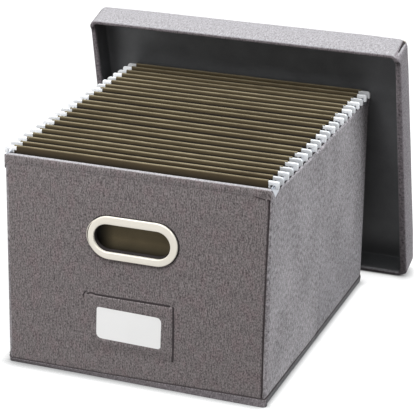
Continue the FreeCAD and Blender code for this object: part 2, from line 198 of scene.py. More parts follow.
def makePiece(name, shell, material, sharp=38):
    points, uvs, faces = shell
    mesh = bpy.data.meshes.new(name)
    mesh.from_pydata([Vector(p) * mm for p in points], [], faces)
    mesh.materials.append(material)
    layer = mesh.uv_layers.new(name="cloth")
    for loop in mesh.loops:
        layer.uv[loop.index].vector = Vector(uvs[loop.vertex_index]) * mm
    work = bmesh.new()
    work.from_mesh(mesh)
    bmesh.ops.remove_doubles(work, verts=work.verts, dist=1e-6)
    loose = [v for v in work.verts if not v.link_faces]
    bmesh.ops.delete(work, geom=loose, context="VERTS")
    bmesh.ops.recalc_face_normals(work, faces=work.faces)
    work.to_mesh(mesh)
    work.free()
    mesh.polygons.foreach_set("use_smooth", [True] * len(mesh.polygons))
    mesh.set_sharp_from_angle(angle=math.radians(sharp))
    piece = bpy.data.objects.new(name, mesh)
    bpy.context.scene.collection.objects.link(piece)
    return piece


def addFinish(piece, material, chosen):
    # gives the chosen faces another material
    piece.data.materials.append(material)
    for face in piece.data.polygons:
        if chosen(face):
            face.material_index = len(piece.data.materials) - 1


def settle(piece, body, slotName, *nodes):
    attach(piece, body)
    if nodes:
        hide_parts(*nodes)


# camera at the photo's viewing angle

shot = dict(azimuth=19.84, elevation=20.54, roll=0.97, lens=160.47, place=(714.6, -1937.7, 917.8))


def makeCamera():
    az = math.radians(shot["azimuth"])
    el = math.radians(shot["elevation"])
    roll = math.radians(shot["roll"])
    back = Vector((math.sin(az) * math.cos(el), -math.cos(az) * math.cos(el), math.sin(el)))
    level = Vector((math.cos(az), math.sin(az), 0))
    upright = back.cross(level)
    right = level * math.cos(roll) + upright * math.sin(roll)
    up = upright * math.cos(roll) - level * math.sin(roll)
    camera = bpy.data.objects.new("camera", bpy.data.cameras.new("camera"))
    camera.data.lens = shot["lens"]
    camera.data.clip_end = 50
    turn = Matrix((right, up, back)).transposed().to_4x4()
    camera.matrix_world = Matrix.Translation(Vector(shot["place"]) * mm) @ turn
    bpy.context.scene.collection.objects.link(camera)
    bpy.context.scene.camera = camera


# nodes

def place(tree, kind, inputs=None, **settings):
    node = tree.nodes.new(kind)
    for key, value in settings.items():
        setattr(node, key, value)
    for key, value in (inputs or {}).items():
        if isinstance(value, bpy.types.NodeSocket):
            tree.links.new(value, node.inputs[key])
        else:
            node.inputs[key].default_value = value
    return node


def calc(tree, operation, first, second=0.0, clamp=False):
    node = place(tree, "ShaderNodeMath", {0: first, 1: second}, operation=operation, use_clamp=clamp)
    return node.outputs[0]


def times(tree, first, second):
    return calc(tree, "MULTIPLY", first, second)


def without(tree, share):
    return calc(tree, "SUBTRACT", 1.0, share)


def grain(tree, coords, scale, detail=2.0, roughness=0.5):
    spread = place(tree, "ShaderNodeVectorMath", {0: coords, 1: scale}, operation="MULTIPLY").outputs[0]
    settings = {"Vector": spread, "Scale": 1.0, "Detail": detail, "Roughness": roughness}
    return place(tree, "ShaderNodeTexNoise", settings).outputs["Fac"]


def blendColours(tree, share, first, second):
    # sockets 6 and 7 are the two colours, and 2 is the colour that comes out
    return place(tree, "ShaderNodeMix", {0: share, 6: first, 7: second}, data_type="RGBA").outputs[2]


def multiplied(tree, share, colour, factor):
    inputs = {0: share, 6: colour, 7: factor}
    return place(tree, "ShaderNodeMix", inputs, data_type="RGBA", blend_type="MULTIPLY").outputs[2]


def ramp(tree, value, low, high):
    node = place(tree, "ShaderNodeMapRange", {"Value": value, "From Min": low, "From Max": high}, clamp=True)
    return node.outputs["Result"]


def splitCoords(tree, coords):
    return place(tree, "ShaderNodeSeparateXYZ", {0: coords}).outputs


def newMaterial(name, **sockets):
    material = bpy.data.materials.new(name)
    material.use_nodes = True
    tree = material.node_tree
    shader = tree.nodes["Principled BSDF"]
    for key, value in sockets.items():
        shader.inputs[key].default_value = value
    return material, tree, shader


def objectCoords(tree):
    return place(tree, "ShaderNodeTexCoord").outputs["Object"]


def clothCoords(tree):
    return place(tree, "ShaderNodeUVMap", uv_map="cloth").outputs["UV"]


def bump(tree, shader, height, strength, distance):
    node = place(tree, "ShaderNodeBump", {"Strength": strength, "Distance": distance, "Height": height})
    tree.links.new(node.outputs["Normal"], shader.inputs["Normal"])


def newGroup(name, inputs, outputs):
    tree = bpy.data.node_groups.new(name, "ShaderNodeTree")
    for label, kind in inputs:
        tree.interface.new_socket(label, in_out="INPUT", socket_type=kind)
    for label in outputs:
        tree.interface.new_socket(label, in_out="OUTPUT", socket_type="NodeSocketFloat")
    return tree, tree.nodes.new("NodeGroupInput"), tree.nodes.new("NodeGroupOutput")


# plain weave with threads of uneven tone; each cloth sets the size of its flecks and slubs

weave = dict(threads=1400.0, warpRun=140.0, weftRun=260.0, patches=(70.0, 50.0, 8.0),
             blush=(1.05, 0.97, 0.99, 1))


def makeWeaveGroup():
    sockets = [(label, "NodeSocketVector") for label in ("Vector", "Fleck Size", "Slub Size")]
    amounts = ("Thread Tone", "Fleck Tone", "Slub Tone", "Thread Relief")
    sockets += [(label, "NodeSocketFloat") for label in amounts]
    tree, given, out = newGroup("clothWeave", sockets, ("Shade", "Height"))
    coords = given.outputs["Vector"]
    scale = weave["threads"] * math.pi
    scaled = place(tree, "ShaderNodeVectorMath", {0: coords, "Scale": scale}, operation="SCALE")
    axes = splitCoords(tree, scaled.outputs[0])
    waveU = calc(tree, "SINE", axes[0])
    waveV = calc(tree, "SINE", axes[1])
    over = calc(tree, "MULTIPLY_ADD", times(tree, waveU, waveV), 3.0, clamp=True)
    warp = grain(tree, coords, (weave["threads"], weave["warpRun"], 1.0), 1.0)
    weft = grain(tree, coords, (weave["weftRun"], weave["threads"], 5.0), 1.0)
    tone = place(tree, "ShaderNodeMix", {0: over, 2: weft, 3: warp}).outputs[0]
    ridges = {0: over, 2: calc(tree, "ABSOLUTE", waveV), 3: calc(tree, "ABSOLUTE", waveU)}
    relief = place(tree, "ShaderNodeMix", ridges).outputs[0]
    fleck = grain(tree, coords, given.outputs["Fleck Size"], 2.0, 0.6)
    slub = grain(tree, coords, given.outputs["Slub Size"], 2.0)
    shade = 0.5
    for value, label in ((tone, "Thread Tone"), (fleck, "Fleck Tone"), (slub, "Slub Tone")):
        swing = calc(tree, "SUBTRACT", value, 0.5)
        shade = calc(tree, "ADD", shade, times(tree, swing, given.outputs[label]))
    sunk = times(tree, calc(tree, "SUBTRACT", relief, 0.64), given.outputs["Thread Relief"])
    shade = calc(tree, "ADD", shade, sunk, clamp=True)
    height = calc(tree, "ADD", relief, times(tree, fleck, 0.8))
    tree.links.new(shade, out.inputs["Shade"])
    tree.links.new(height, out.inputs["Height"])
    return tree


# fine speckle for paper, card and moulded surfaces

def makeSpeckleGroup():
    sockets = [("Vector", "NodeSocketVector"), ("Amount", "NodeSocketFloat")]
    tree, given, out = newGroup("fineSpeckle", sockets, ("Shade", "Height"))
    coords = given.outputs["Vector"]
    fine = grain(tree, coords, (1400.0, 1400.0, 1400.0), 2.0)
    broad = grain(tree, coords, (45.0, 45.0, 45.0), 3.0)
    both = calc(tree, "ADD", times(tree, fine, 0.55), times(tree, broad, 0.45))
    spread = times(tree, calc(tree, "SUBTRACT", both, 0.5), given.outputs["Amount"])
    tree.links.new(calc(tree, "ADD", spread, 0.5, clamp=True), out.inputs["Shade"])
    tree.links.new(fine, out.inputs["Height"])
    return tree


weaveGroup = makeWeaveGroup()
speckleGroup = makeSpeckleGroup()


def useGroup(tree, group, inputs):
    node = place(tree, "ShaderNodeGroup", inputs, node_tree=group)
    return node.outputs["Shade"], node.outputs["Height"]


linenLook = dict(dark=(0.058, 0.05, 0.052), light=(0.37, 0.344, 0.353), relief=0.22,
                 roughness=0.92, sheen=0.16, bumpStrength=0.3, bumpDepth=0.0003,
                 foldShadeY=(-0.0045, -0.001), foldShadeZ=(0.16, 0.03), foldShadeTone=(0.84, 0.84, 0.85, 1))


def makeLinen(name, tint, tones, fleckSize, slubSize, blush, foldShaded=False):
    # tint gives lit and shaded copies of one cloth: painted light and shade for each side of the box and the
    # lid
    look = linenLook
    finish = {"Roughness": look["roughness"], "Sheen Weight": look["sheen"], "Specular IOR Level": 0.2}
    material, tree, shader = newMaterial(name, **finish)
    coords = clothCoords(tree)
    inputs = {"Vector": coords, "Fleck Size": (*fleckSize, 1.0), "Slub Size": (*slubSize, 3.0),
              "Thread Relief": look["relief"]}
    inputs.update(zip(("Thread Tone", "Fleck Tone", "Slub Tone"), tones))
    shade, height = useGroup(tree, weaveGroup, inputs)
    dark, light = [[a * b for a, b in zip(look[end], tint)] + [1] for end in ("dark", "light")]
    colour = blendColours(tree, shade, dark, light)
    # faint warm patches
    warm = times(tree, ramp(tree, grain(tree, coords, weave["patches"], 2.0), 0.5, 0.64), blush)
    colour = multiplied(tree, warm, colour, weave["blush"])
    if foldShaded:
        # painted shade: behind the side wall's crease the cloth is darker towards its foot
        spot = splitCoords(tree, objectCoords(tree))
        behind = times(tree, ramp(tree, spot[1], *look["foldShadeY"]), ramp(tree, spot[2], *look["foldShadeZ"]))
        colour = multiplied(tree, behind, colour, look["foldShadeTone"])
    tree.links.new(colour, shader.inputs["Base Color"])
    bump(tree, shader, height, look["bumpStrength"], look["bumpDepth"])
    return material


# lining, card, board, thread and the black strips of painted shadow: one colour with a fine speckle

def makeSpeckled(name, dark, light, amount, roughness, relief=0.1, specular=0.5):
    material, tree, shader = newMaterial(name, **{"Roughness": roughness, "Specular IOR Level": specular})
    shade, height = useGroup(tree, speckleGroup, {"Vector": objectCoords(tree), "Amount": amount})
    tree.links.new(blendColours(tree, shade, dark, light), shader.inputs["Base Color"])
    bump(tree, shader, height, relief, 0.0002)
    return material


# folder stock: olive board with pale fibres, painted shade over the sleeves and deepest between the flaps,
# and a pale top fold that is partly wear and partly painted highlight

stockLook = dict(dark=(0.06, 0.046, 0.022, 1), light=(0.13, 0.103, 0.055, 1), paleFibreAndLitFold=(0.154, 0.129, 0.078, 1),
                 wornAndLitFoldZ=(0.2573, 0.2584), sleeveShadeZ=(0.236, 0.247), sleeveShadeTone=(0.53, 0.475, 0.37, 1),
                 roughness=0.72, footShadeZ=(0.254, 0.2556), footShadeTone=(0.12, 0.09, 0.05, 1),
                 faceY=(-0.1775, -0.1785), hemShadeZ=(0.248, 0.2575), handShadowX=(-0.047, -0.03),
                 handShadowZ=(0.149, 0.166), handShadowTone=(0.06, 0.06, 0.06, 1),
                 upperFaceShadeZ=(0.2, 0.22), upperFaceShadeTone=(0.78, 0.72, 0.6, 1))


def makeStock(name, shaded):
    look = stockLook
    material, tree, shader = newMaterial(name, **{"Roughness": look["roughness"], "Specular IOR Level": 0.3})
    coords = objectCoords(tree)
    x, y, z = splitCoords(tree, coords)
    shade, height = useGroup(tree, speckleGroup, {"Vector": coords, "Amount": 1.5})
    fibre = ramp(tree, grain(tree, coords, (260.0, 700.0, 900.0), 3.0, 0.7), 0.6, 0.75)
    colour = blendColours(tree, shade, look["dark"], look["light"])
    colour = blendColours(tree, times(tree, fibre, 0.2), colour, look["paleFibreAndLitFold"])
    sleeve = ramp(tree, z, *look["sleeveShadeZ"])
    colour = multiplied(tree, sleeve, colour, look["sleeveShadeTone"])
    # painted shade at the sleeve's foot, deep between two flaps
    foot = times(tree, sleeve, without(tree, ramp(tree, z, *look["footShadeZ"])))
    if shaded:
        # painted shade: the first flap has none before it, so that its face only darkens towards the hem
        front = ramp(tree, y, *look["faceY"])
        hem = times(tree, without(tree, ramp(tree, z, *look["hemShadeZ"])), sleeve)
        foot = times(tree, foot, without(tree, front))
        foot = calc(tree, "ADD", foot, times(tree, front, hem))
    colour = multiplied(tree, foot, colour, look["footShadeTone"])
    if shaded:
        # painted shadow: the face behind the hand hole darkens to the left and downwards
        above = ramp(tree, z, *look["upperFaceShadeZ"])
        handShadow = times(tree, ramp(tree, x, *look["handShadowX"]), ramp(tree, z, *look["handShadowZ"]))
        gloom = without(tree, calc(tree, "MAXIMUM", handShadow, above))
        colour = multiplied(tree, gloom, colour, look["handShadowTone"])
        # painted shade: the first flap's upper face is dimmed as a whole
        colour = multiplied(tree, above, colour, look["upperFaceShadeTone"])
    # the top fold is lightened, partly wear and partly painted highlight
    wearAndHighlight = times(tree, ramp(tree, z, *look["wornAndLitFoldZ"]), ramp(tree, shade, 0.1, 0.6))
    colour = blendColours(tree, wearAndHighlight, colour, look["paleFibreAndLitFold"])
    tree.links.new(colour, shader.inputs["Base Color"])
    bump(tree, shader, height, 0.2, 0.0002)
    return material


# hooks: white plastic, with painted shade that greys the bars at the front right

hookLook = dict(dark=(0.65, 0.665, 0.68), light=(0.81, 0.815, 0.825), hookShadeTone=(0.76, 0.765, 0.775, 1),
                hookShadeX=(0.05, 0.14), hookShadeY=(0.16, -0.17), roughness=0.38)


def makeHookPlastic(name, tone):
    material, tree, shader = newMaterial(name, **{"Roughness": hookLook["roughness"]})
    coords = objectCoords(tree)
    shade, height = useGroup(tree, speckleGroup, {"Vector": coords, "Amount": 0.8})
    spot = splitCoords(tree, coords)
    hookShade = times(tree, ramp(tree, spot[0], *hookLook["hookShadeX"]), ramp(tree, spot[1], *hookLook["hookShadeY"]))
    dark, light = [[tone * c for c in hookLook[end]] for end in ("dark", "light")]
    colour = multiplied(tree, hookShade, blendColours(tree, shade, dark + [1], light + [1]), hookLook["hookShadeTone"])
    tree.links.new(colour, shader.inputs["Base Color"])
    bump(tree, shader, height, 0.05, 0.0002)
    return material


# rails: zinc with fine lines along their length

railLook = dict(dark=(0.42, 0.44, 0.48, 1), light=(0.66, 0.68, 0.72, 1))


def makeRailMetal():
    material, tree, shader = newMaterial("zincRail", **{"Metallic": 0.9})
    coords = objectCoords(tree)
    lines = grain(tree, coords, (2500.0, 18.0, 2500.0), 2.0)
    shade, _ = useGroup(tree, speckleGroup, {"Vector": coords, "Amount": 1.0})
    colour = blendColours(tree, shade, railLook["dark"], railLook["light"])
    tree.links.new(colour, shader.inputs["Base Color"])
    rough = calc(tree, "ADD", times(tree, lines, 0.3), 0.2)
    tree.links.new(rough, shader.inputs["Roughness"])
    bump(tree, shader, lines, 0.1, 0.0001)
    return material


# handle: cream enamel on pressed metal, with a soft sheen and a little wear

handleLook = dict(dark=(0.6, 0.56, 0.485, 1), light=(0.745, 0.705, 0.625, 1), metallic=0.25)


def makeHandlePaint():
    coat = {"Metallic": handleLook["metallic"], "Coat Weight": 0.25, "Coat Roughness": 0.2}
    material, tree, shader = newMaterial("creamHandle", **coat)
    coords = objectCoords(tree)
    shade, height = useGroup(tree, speckleGroup, {"Vector": coords, "Amount": 1.2})
    colour = blendColours(tree, shade, handleLook["dark"], handleLook["light"])
    tree.links.new(colour, shader.inputs["Base Color"])
    rough = calc(tree, "ADD", times(tree, shade, 0.2), 0.28)
    tree.links.new(rough, shader.inputs["Roughness"])
    bump(tree, shader, height, 0.04, 0.0002)
    return material


# painted light and shade: one cloth in lit and shaded copies, dimmed on the end walls, hems and base,
# brighter on the side walls and the lid
linen = makeLinen("linenEndShaded", (0.68, 0.65, 0.635), (1.4, 2.1, 1.1), (880, 400), (900, 75), 0.8)
litSideLinen = makeLinen("linenSideLit", (1.0, 1.01, 1.025), (2.1, 1.9, 0.75), (300, 210), (18, 14), 0.3, True)
litLidLinen = makeLinen("linenLidLit", (1.08, 1.12, 1.13), (1.2, 1.0, 0.1), (600, 400), (120, 55), 0.0)
shadedLidSideLinen = makeLinen("linenLidSideShaded", (0.75, 0.73, 0.76), (1.5, 1.5, 0.3), (600, 300), (120, 55), 0.2)
darkHemAndShadeLinen = makeLinen("linenDarkHemAndShade", (0.35, 0.335, 0.345), (2.0, 1.5, 0.3), (800, 300), (120, 55), 0.3)
shadedFootLinen = makeLinen("linenFootShaded", (0.22, 0.215, 0.225), (2.0, 1.5, 0.3), (300, 290), (120, 55), 0.0)
lining = makeSpeckled("darkLining", (0.062, 0.064, 0.066, 1), (0.138, 0.141, 0.146, 1), 1.6, 0.46, 0.15, 0.4)
stock = makeStock("folderStock", False)
frontShadedStock = makeStock("frontFolderStockShaded", True)
zinc = makeRailMetal()
cream = makeHandlePaint()
greyBoard = makeSpeckled("greyBoard", (0.16, 0.14, 0.115, 1), (0.33, 0.3, 0.26, 1), 1.8, 0.9)
# painted shadow: this black and shadowFelt below fill gaps, slits and the hand holes where only shade shows
shadowBlackFelt = makeSpeckled("paintedShadowBlack", (0.012, 0.01, 0.01, 1), (0.035, 0.03, 0.03, 1), 1.6, 0.9, 0.3, 0.15)
whitePlastic = makeHookPlastic("whitePlastic", 1.0)
shadedRearPlastic = makeHookPlastic("shadedRearPlastic", 0.74)
slitShadowFelt = makeSpeckled("shadowFelt", (0.021, 0.017, 0.018, 1), (0.058, 0.048, 0.05, 1), 1.6, 0.9, 0.3, 0.15)
paper = makeSpeckled("whiteCard", (0.765, 0.765, 0.755, 1), (0.825, 0.825, 0.82, 1), 1.0, 0.7, 0.08)
thread = makeSpeckled("greyThread", (0.1, 0.09, 0.093, 1), (0.26, 0.245, 0.25, 1), 1.6, 0.8, 0.3)
print("materials made")


# stage: pale floor, soft light from above and the right, white background

studio = dict(key=3.4, keyFrom=(0.67, 0.0, 0.74), keySpread=42, keyTint=(0.94, 0.98, 1.0),
              top=2.7, topFrom=(0.0, -0.12, 1.0), topSpread=55, topTint=(0.95, 0.98, 1.0),
              panels={"softBox": (25.0, (-0.32, -1.0, 1.65), 0.65),
                      "fillLight": (6.5, (-0.95, -1.3, 0.45), 0.9)},
              aim=(0.0, 0.05, 0.2), world=0.23, floorGlow=0.9, floorSeen=0.12, floorHalf=12.0,
              floorBounce=(0.11, 0.1, 0.098, 1), shadowReach=0.014, shadowDepth=1.2,
              frontY=(-0.186, -0.194), frontReach=0.004, frontDepth=1.6,
              flankX=(0.15, 0.158), flankY=(0.2, 0.17), flankLess=0.007)


def seenDirectly(tree):
    path = place(tree, "ShaderNodeLightPath").outputs
    sharp = calc(tree, "MAXIMUM", path["Is Camera Ray"], path["Is Glossy Ray"])
    return calc(tree, "MAXIMUM", sharp, path["Is Transmission Ray"])


def makeSun(name, strength, fromPlace, spread, tint):
    lamp = bpy.data.lights.new(name, "SUN")
    lamp.energy = strength
    lamp.angle = math.radians(spread)
    lamp.color = tint
    sun = bpy.data.objects.new(name, lamp)
    sun.rotation_euler = Vector(fromPlace).to_track_quat("Z", "Y").to_euler()
    bpy.context.scene.collection.objects.link(sun)


def makePanel(name, strength, fromPlace, wide):
    lamp = bpy.data.lights.new(name, "AREA")
    lamp.energy = strength
    lamp.size = wide
    panel = bpy.data.objects.new(name, lamp)
    panel.location = fromPlace
    panel.rotation_euler = (Vector(fromPlace) - Vector(studio["aim"])).to_track_quat("Z", "Y").to_euler()
    bpy.context.scene.collection.objects.link(panel)


def makeStage():
    half = studio["floorHalf"]
    mesh = bpy.data.meshes.new("floor")
    corners = [(-half, -half, 0), (half, -half, 0), (half, half, 0), (-half, half, 0)]
    mesh.from_pydata(corners, [], [(0, 1, 2, 3)])
    floor = bpy.data.objects.new("floor", mesh)
    bpy.context.scene.collection.objects.link(floor)
    material = bpy.data.materials.new("paleFloor")
    material.use_nodes = True
    tree = material.node_tree
    tree.nodes.clear()
    seen = studio["floorSeen"]
    bright = place(tree, "ShaderNodeBsdfDiffuse", {"Color": (seen, seen, seen * 1.005, 1)})
    # painted shadow: the floor's white glow fades where the object stands close to the floor, most in front
    # and least along the right wall
    x, y, _ = splitCoords(tree, objectCoords(tree))
    front = ramp(tree, y, *studio["frontY"])
    flank = times(tree, ramp(tree, x, *studio["flankX"]), ramp(tree, y, *studio["flankY"]))
    reach = calc(tree, "ADD", studio["shadowReach"], times(tree, front, studio["frontReach"]))
    reach = calc(tree, "SUBTRACT", reach, times(tree, flank, studio["flankLess"]))
    openSky = place(tree, "ShaderNodeAmbientOcclusion", {"Distance": reach}, samples=8).outputs["AO"]
    depth = calc(tree, "ADD", studio["shadowDepth"], times(tree, front, studio["frontDepth"]))
    strength = times(tree, calc(tree, "POWER", openSky, depth), studio["floorGlow"])
    glow = place(tree, "ShaderNodeEmission", {"Strength": strength})
    lit = place(tree, "ShaderNodeAddShader", {0: bright.outputs[0], 1: glow.outputs[0]})
    dim = place(tree, "ShaderNodeBsdfDiffuse", {"Color": studio["floorBounce"]})
    mix = place(tree, "ShaderNodeMixShader", {0: seenDirectly(tree), 1: dim.outputs[0], 2: lit.outputs[0]})
    place(tree, "ShaderNodeOutputMaterial", {0: mix.outputs[0]})
    mesh.materials.append(material)
    world = bpy.data.worlds.new("studio")
    world.use_nodes = True
    tree = world.node_tree
    tree.nodes.clear()
    glow = place(tree, "ShaderNodeBackground", {0: (1, 1, 1, 1), 1: studio["world"]})
    white = place(tree, "ShaderNodeBackground", {0: (1, 1, 1, 1), 1: 1.0})
    mix = place(tree, "ShaderNodeMixShader", {0: seenDirectly(tree), 1: glow.outputs[0], 2: white.outputs[0]})
    place(tree, "ShaderNodeOutputWorld", {0: mix.outputs[0]})
    bpy.context.scene.world = world
    makeSun("keyLight", studio["key"], studio["keyFrom"], studio["keySpread"], studio["keyTint"])
    makeSun("topLight", studio["top"], studio["topFrom"], studio["topSpread"], studio["topTint"])
    for name, (strength, fromPlace, wide) in studio["panels"].items():
        makePanel(name, strength, fromPlace, wide)
    bpy.context.scene.view_settings.view_transform = "Standard"


makeCamera()
makeStage()
print("stage set")


# the walls: u runs along a wall, v upwards, n outwards

wallAxes = {"front": (Vector((1, 0, 0)), Vector((0, -1, 0))), "rear": (Vector((-1, 0, 0)), Vector((0, 1, 0))),
            "right": (Vector((0, 1, 0)), Vector((1, 0, 0))), "left": (Vector((0, -1, 0)), Vector((-1, 0, 0)))}


def onWall(side, u, v, n):
    along, out = wallAxes[side]
    return along * u + out * n + Vector((0, 0, v))


def smoothPath(points, steps=6):
    # a smooth curve through points (u, v)
    spots = [Vector(p) for p in points]
    path = []
    for k in range(len(spots) - 1):
        before, here, after = spots[max(k - 1, 0)], spots[k], spots[k + 1]
        beyond = spots[min(k + 2, len(spots) - 1)]
        for step in range(steps):
            t = step / steps
            bend = (after - before) * t + (before * 2 - here * 5 + after * 4 - beyond) * t * t
            path.append(here + (bend + (here * 3 - before - after * 3 + beyond) * t ** 3) / 2)
    return path + [spots[-1]]


def ribbon(side, path, widths, low, high):
    # a flat closed strip along a path (u, v) on a wall; widths are given from its first to its last point
    rings, ringUvs = [], []
    for k, spot in enumerate(path):
        ahead = (path[min(k + 1, len(path) - 1)] - path[max(k - 1, 0)]).normalized()
        share = k / (len(path) - 1) * (len(widths) - 1)
        index = min(int(share), len(widths) - 2)
        wide = widths[index] + (widths[index + 1] - widths[index]) * (share - index)
        across = Vector((-ahead.y, ahead.x)) * wide / 2
        section = [(-1, low), (-1, high - 0.15), (-0.7, high), (0.7, high), (1, high - 0.15), (1, low),
                   (-1, low)]
        rings.append([onWall(side, spot.x + across.x * a, spot.y + across.y * a, n) for a, n in section])
        ringUvs.append([(k * 2.0, a * wide) for a, n in section])
    return loft(rings, ringUvs, caps=True)


handle = dict(u=-3.4, v=170.7, straight=29.0, opening=16.4, drop=0.75, outer=25.3, outerStraight=27.7,
              outerShift=0.8, hole=18.5)
pocket = dict(u=-8.0, v=66.5, halfU=53.5, halfV=33.0, cut=0.8, windowShift=(0.5, -0.5), windowU=38.8,
              windowV=19.0, windowRound=(6.4, 3.4, 2.6, 5.8), tilt=-1.3)
endWall = dict(half=152.0, low=7.0, high=248.0, board=189.7, cloth=0.8, swell=0.5, roll=2.2, fixed=120.0,
               welt=0.8, hemHalf=157.2, footDrop=2.8, dropRun=40.0)
endFace = endWall["board"] + endWall["cloth"]
sideWall = dict(half=186.5, low=9.0, high=244.0, board=155.2, cloth=0.8, rail=153.85, crease=-2.0, bowTop=2.4,
                bowFoot=0.5, dip=7.5, dipRun=14.0, rollFrom=242.0, top=244.55)
seam = dict(foot=150.4, head=153.2, bendFrom=70.0, top=241.0, bend=1.5, gap=1.05, low=3.6, high=246.0,
            step=6.0, roundness=4.6)


def seamAt(v):
    # how far out the cloth of an end wall stops at height v; only its right-hand corner has an open seam
    share = min(max((v - seam["bendFrom"]) / (seam["top"] - seam["bendFrom"]), 0.0), 1.0)
    return seam["foot"] + (seam["head"] - seam["foot"]) * share ** seam["bend"]


def followSeam(u, v):
    # draws the right-hand end of an end wall's cloth in to its seam
    w = endWall
    if u <= w["fixed"]:
        return u
    reach = (seamAt(v) - seam["gap"] - w["fixed"]) / (w["half"] - w["fixed"])
    return w["fixed"] + (u - w["fixed"]) * reach


def handleGap(u, v, radius):
    # distance from the handle's outline of this radius
    return math.hypot(max(abs(u - handle["u"]) - handle["straight"], 0), v - handle["v"]) - radius


def endCoverHeight(u, v, seed, patched):
    w = endWall
    calm = ease(handleGap(u, v, handle["outer"]) / 16)
    if patched:
        # flat behind the pocket and up to the handle, where the card slides
        low, high = pocket["v"] - pocket["halfV"], handle["v"] - handle["outer"]
        past = max(abs(u - pocket["u"]) - pocket["halfU"], low - v, v - high, 0)
        calm *= ease(past / 16)
    swell = w["swell"] * math.cos(math.pi * u / 340) * math.cos(math.pi * (v - 128) / 300)
    waves = 0.24 * ripple(u, v, 58, 85, seed) + 0.08 * ripple(u, v, 17, 27, seed + 4)
    dip = 0.4 * math.exp(-(max(handleGap(u, v, handle["outer"]), 0) / 4) ** 2)
    calm *= ease((w["half"] - abs(u)) / 20) * ease((w["high"] - v) / 24)
    end = w["half"] - u
    welt = w["welt"] * math.exp(-((end - 2.2) / 1.3) ** 2)
    edge = rollOff(end, w["roll"], 0.7) + rollOff(v - w["low"], w["roll"], 0.7)
    return endFace + (swell + waves) * calm + welt - dip - edge


def openShare(u):
    # from 0 at an end wall's left end to 1 at its right end, where its seam is open
    return ease(0.5 + 0.5 * u / endWall["hemHalf"])


def makeEndCover(side, seed, patched):
    w = endWall

    def hung(u, v, n):
        # the cloth hangs lower towards the left
        drop = w["footDrop"] * (1 - openShare(u) ** 2) * (1 - ease((v - w["low"]) / w["dropRun"]))
        return onWall(side, followSeam(u, v), v - drop, n)

    edges = (0.4, 0.9, 1.6, 2.6)
    shell = slab(stops(-w["half"], w["half"], 3.0, edges), stops(w["low"], w["high"], 3.0, edges),
                 lambda u, v: hung(u, v, endCoverHeight(u, v, seed, patched)),
                 lambda u, v: hung(u, v, w["board"] - 0.1),
                 lambda u, v: handleGap(u, v, handle["hole"]))
    piece = makePiece(side + "Cover", shell, linen)
    settle(piece, "box", "linen", side + "_cover")


def sideCoverHeight(u, v, seed):
    w = sideWall
    off = u - w["crease"]
    bow = w["bowFoot"] + (w["bowTop"] - w["bowFoot"]) * (v / w["high"]) ** 1.4
    lean = max(0.0, 1 - math.sqrt((off / w["half"]) ** 2 + 0.0012))
    swell = 0.35 * math.sin(math.pi * min(1, abs(off) / w["half"])) * math.cos(math.pi * (v - 120) / 300)
    waves = 0.22 * ripple(u, v, 60, 90, seed) + 0.08 * ripple(u, v, 18, 28, seed + 4)
    groove = 0.6 * math.exp(-(off / 1.7) ** 2)
    end = w["half"] - abs(u)
    edge = rollOff(end, 3.2, 0.85) + rollOff(v - w["low"], 2.6, 0.7)
    return w["board"] + w["cloth"] + bow * lean + (swell + waves) * ease(end / 20) - groove - edge


def makeSideCover(side, seed):
    w = sideWall
    us = stops(-w["half"], w["half"], 3.0, (0.5, 1.1, 2.0, 3.2))
    near = [w["crease"] + e for e in (-2.4, -1.2, 0, 1.2, 2.4)]
    us = sorted([u for u in us if abs(u - w["crease"]) > 2.9] + near)
    # the last rows roll over the top edge, in to the rail
    rolls = [(0.15, 0.02), (0.4, 0.12), (0.65, 0.36), (0.85, 0.75), (0.96, 1.25), (1.0, 1.9)]
    rows = [(v, 0.0, False) for v in stops(w["low"], w["rollFrom"], 3.0, (0.4, 0.9, 1.6, 2.6))]
    rows += [(w["rollFrom"] + (w["top"] - w["rollFrom"]) * rise, back, False) for rise, back in rolls]
    rows.append((w["top"], 0, True))

    def sunk(u, v):
        # the top edge dips towards both ends
        dip = w["dip"] * math.exp(-((w["half"] - abs(u)) / w["dipRun"]) ** 2)
        return v - dip * ease((v - w["high"] + 60) / 60)

    def outer(u, row):
        v, back, atRail = rows[int(row)]
        n = w["rail"] if atRail else max(sideCoverHeight(u, min(v, w["high"]), seed) - back, w["rail"])
        return onWall(side, u, sunk(u, v), n)

    def inner(u, row):
        v, back, atRail = rows[int(row)]
        return onWall(side, u, sunk(u, min(v, w["high"])), w["rail"] if atRail else w["board"])

    points, uvs, faces = slab(us, list(range(len(rows))), outer, inner)
    uvs = [(u, rows[int(row)][0] + rows[int(row)][1]) for u, row in uvs]
    piece = makePiece(side + "Cover", (points, uvs, faces), litSideLinen)
    settle(piece, "box", "linen", side + "_cover")


# hem over the top of the front and rear walls

topHem = dict(half=156.0, top=252.0, corner=5.0, foot=240.5, leg=10.6, proud=0.15, thick=5.8, roll=1.7)


def topHemPath():
    h = topHem
    path = []
    flat, bend = h["half"] - h["corner"], h["top"] - h["corner"]
    for step in range(3):
        path.append((Vector((-h["half"], h["foot"] + (bend - h["foot"]) * step / 3)), Vector((-1, 0))))
    for step in range(11):
        turn = math.pi - math.pi / 2 * step / 10
        out = Vector((math.cos(turn), math.sin(turn)))
        path.append((Vector((-flat, bend)) + out * h["corner"], out))
    path += [(Vector((-flat + 2 * flat * step / 96, h["top"])), Vector((0, 1))) for step in range(1, 96)]
    mirrored = [(Vector((-p.x, p.y)), Vector((-o.x, o.y))) for p, o in reversed(path[:14])]
    return path + mirrored


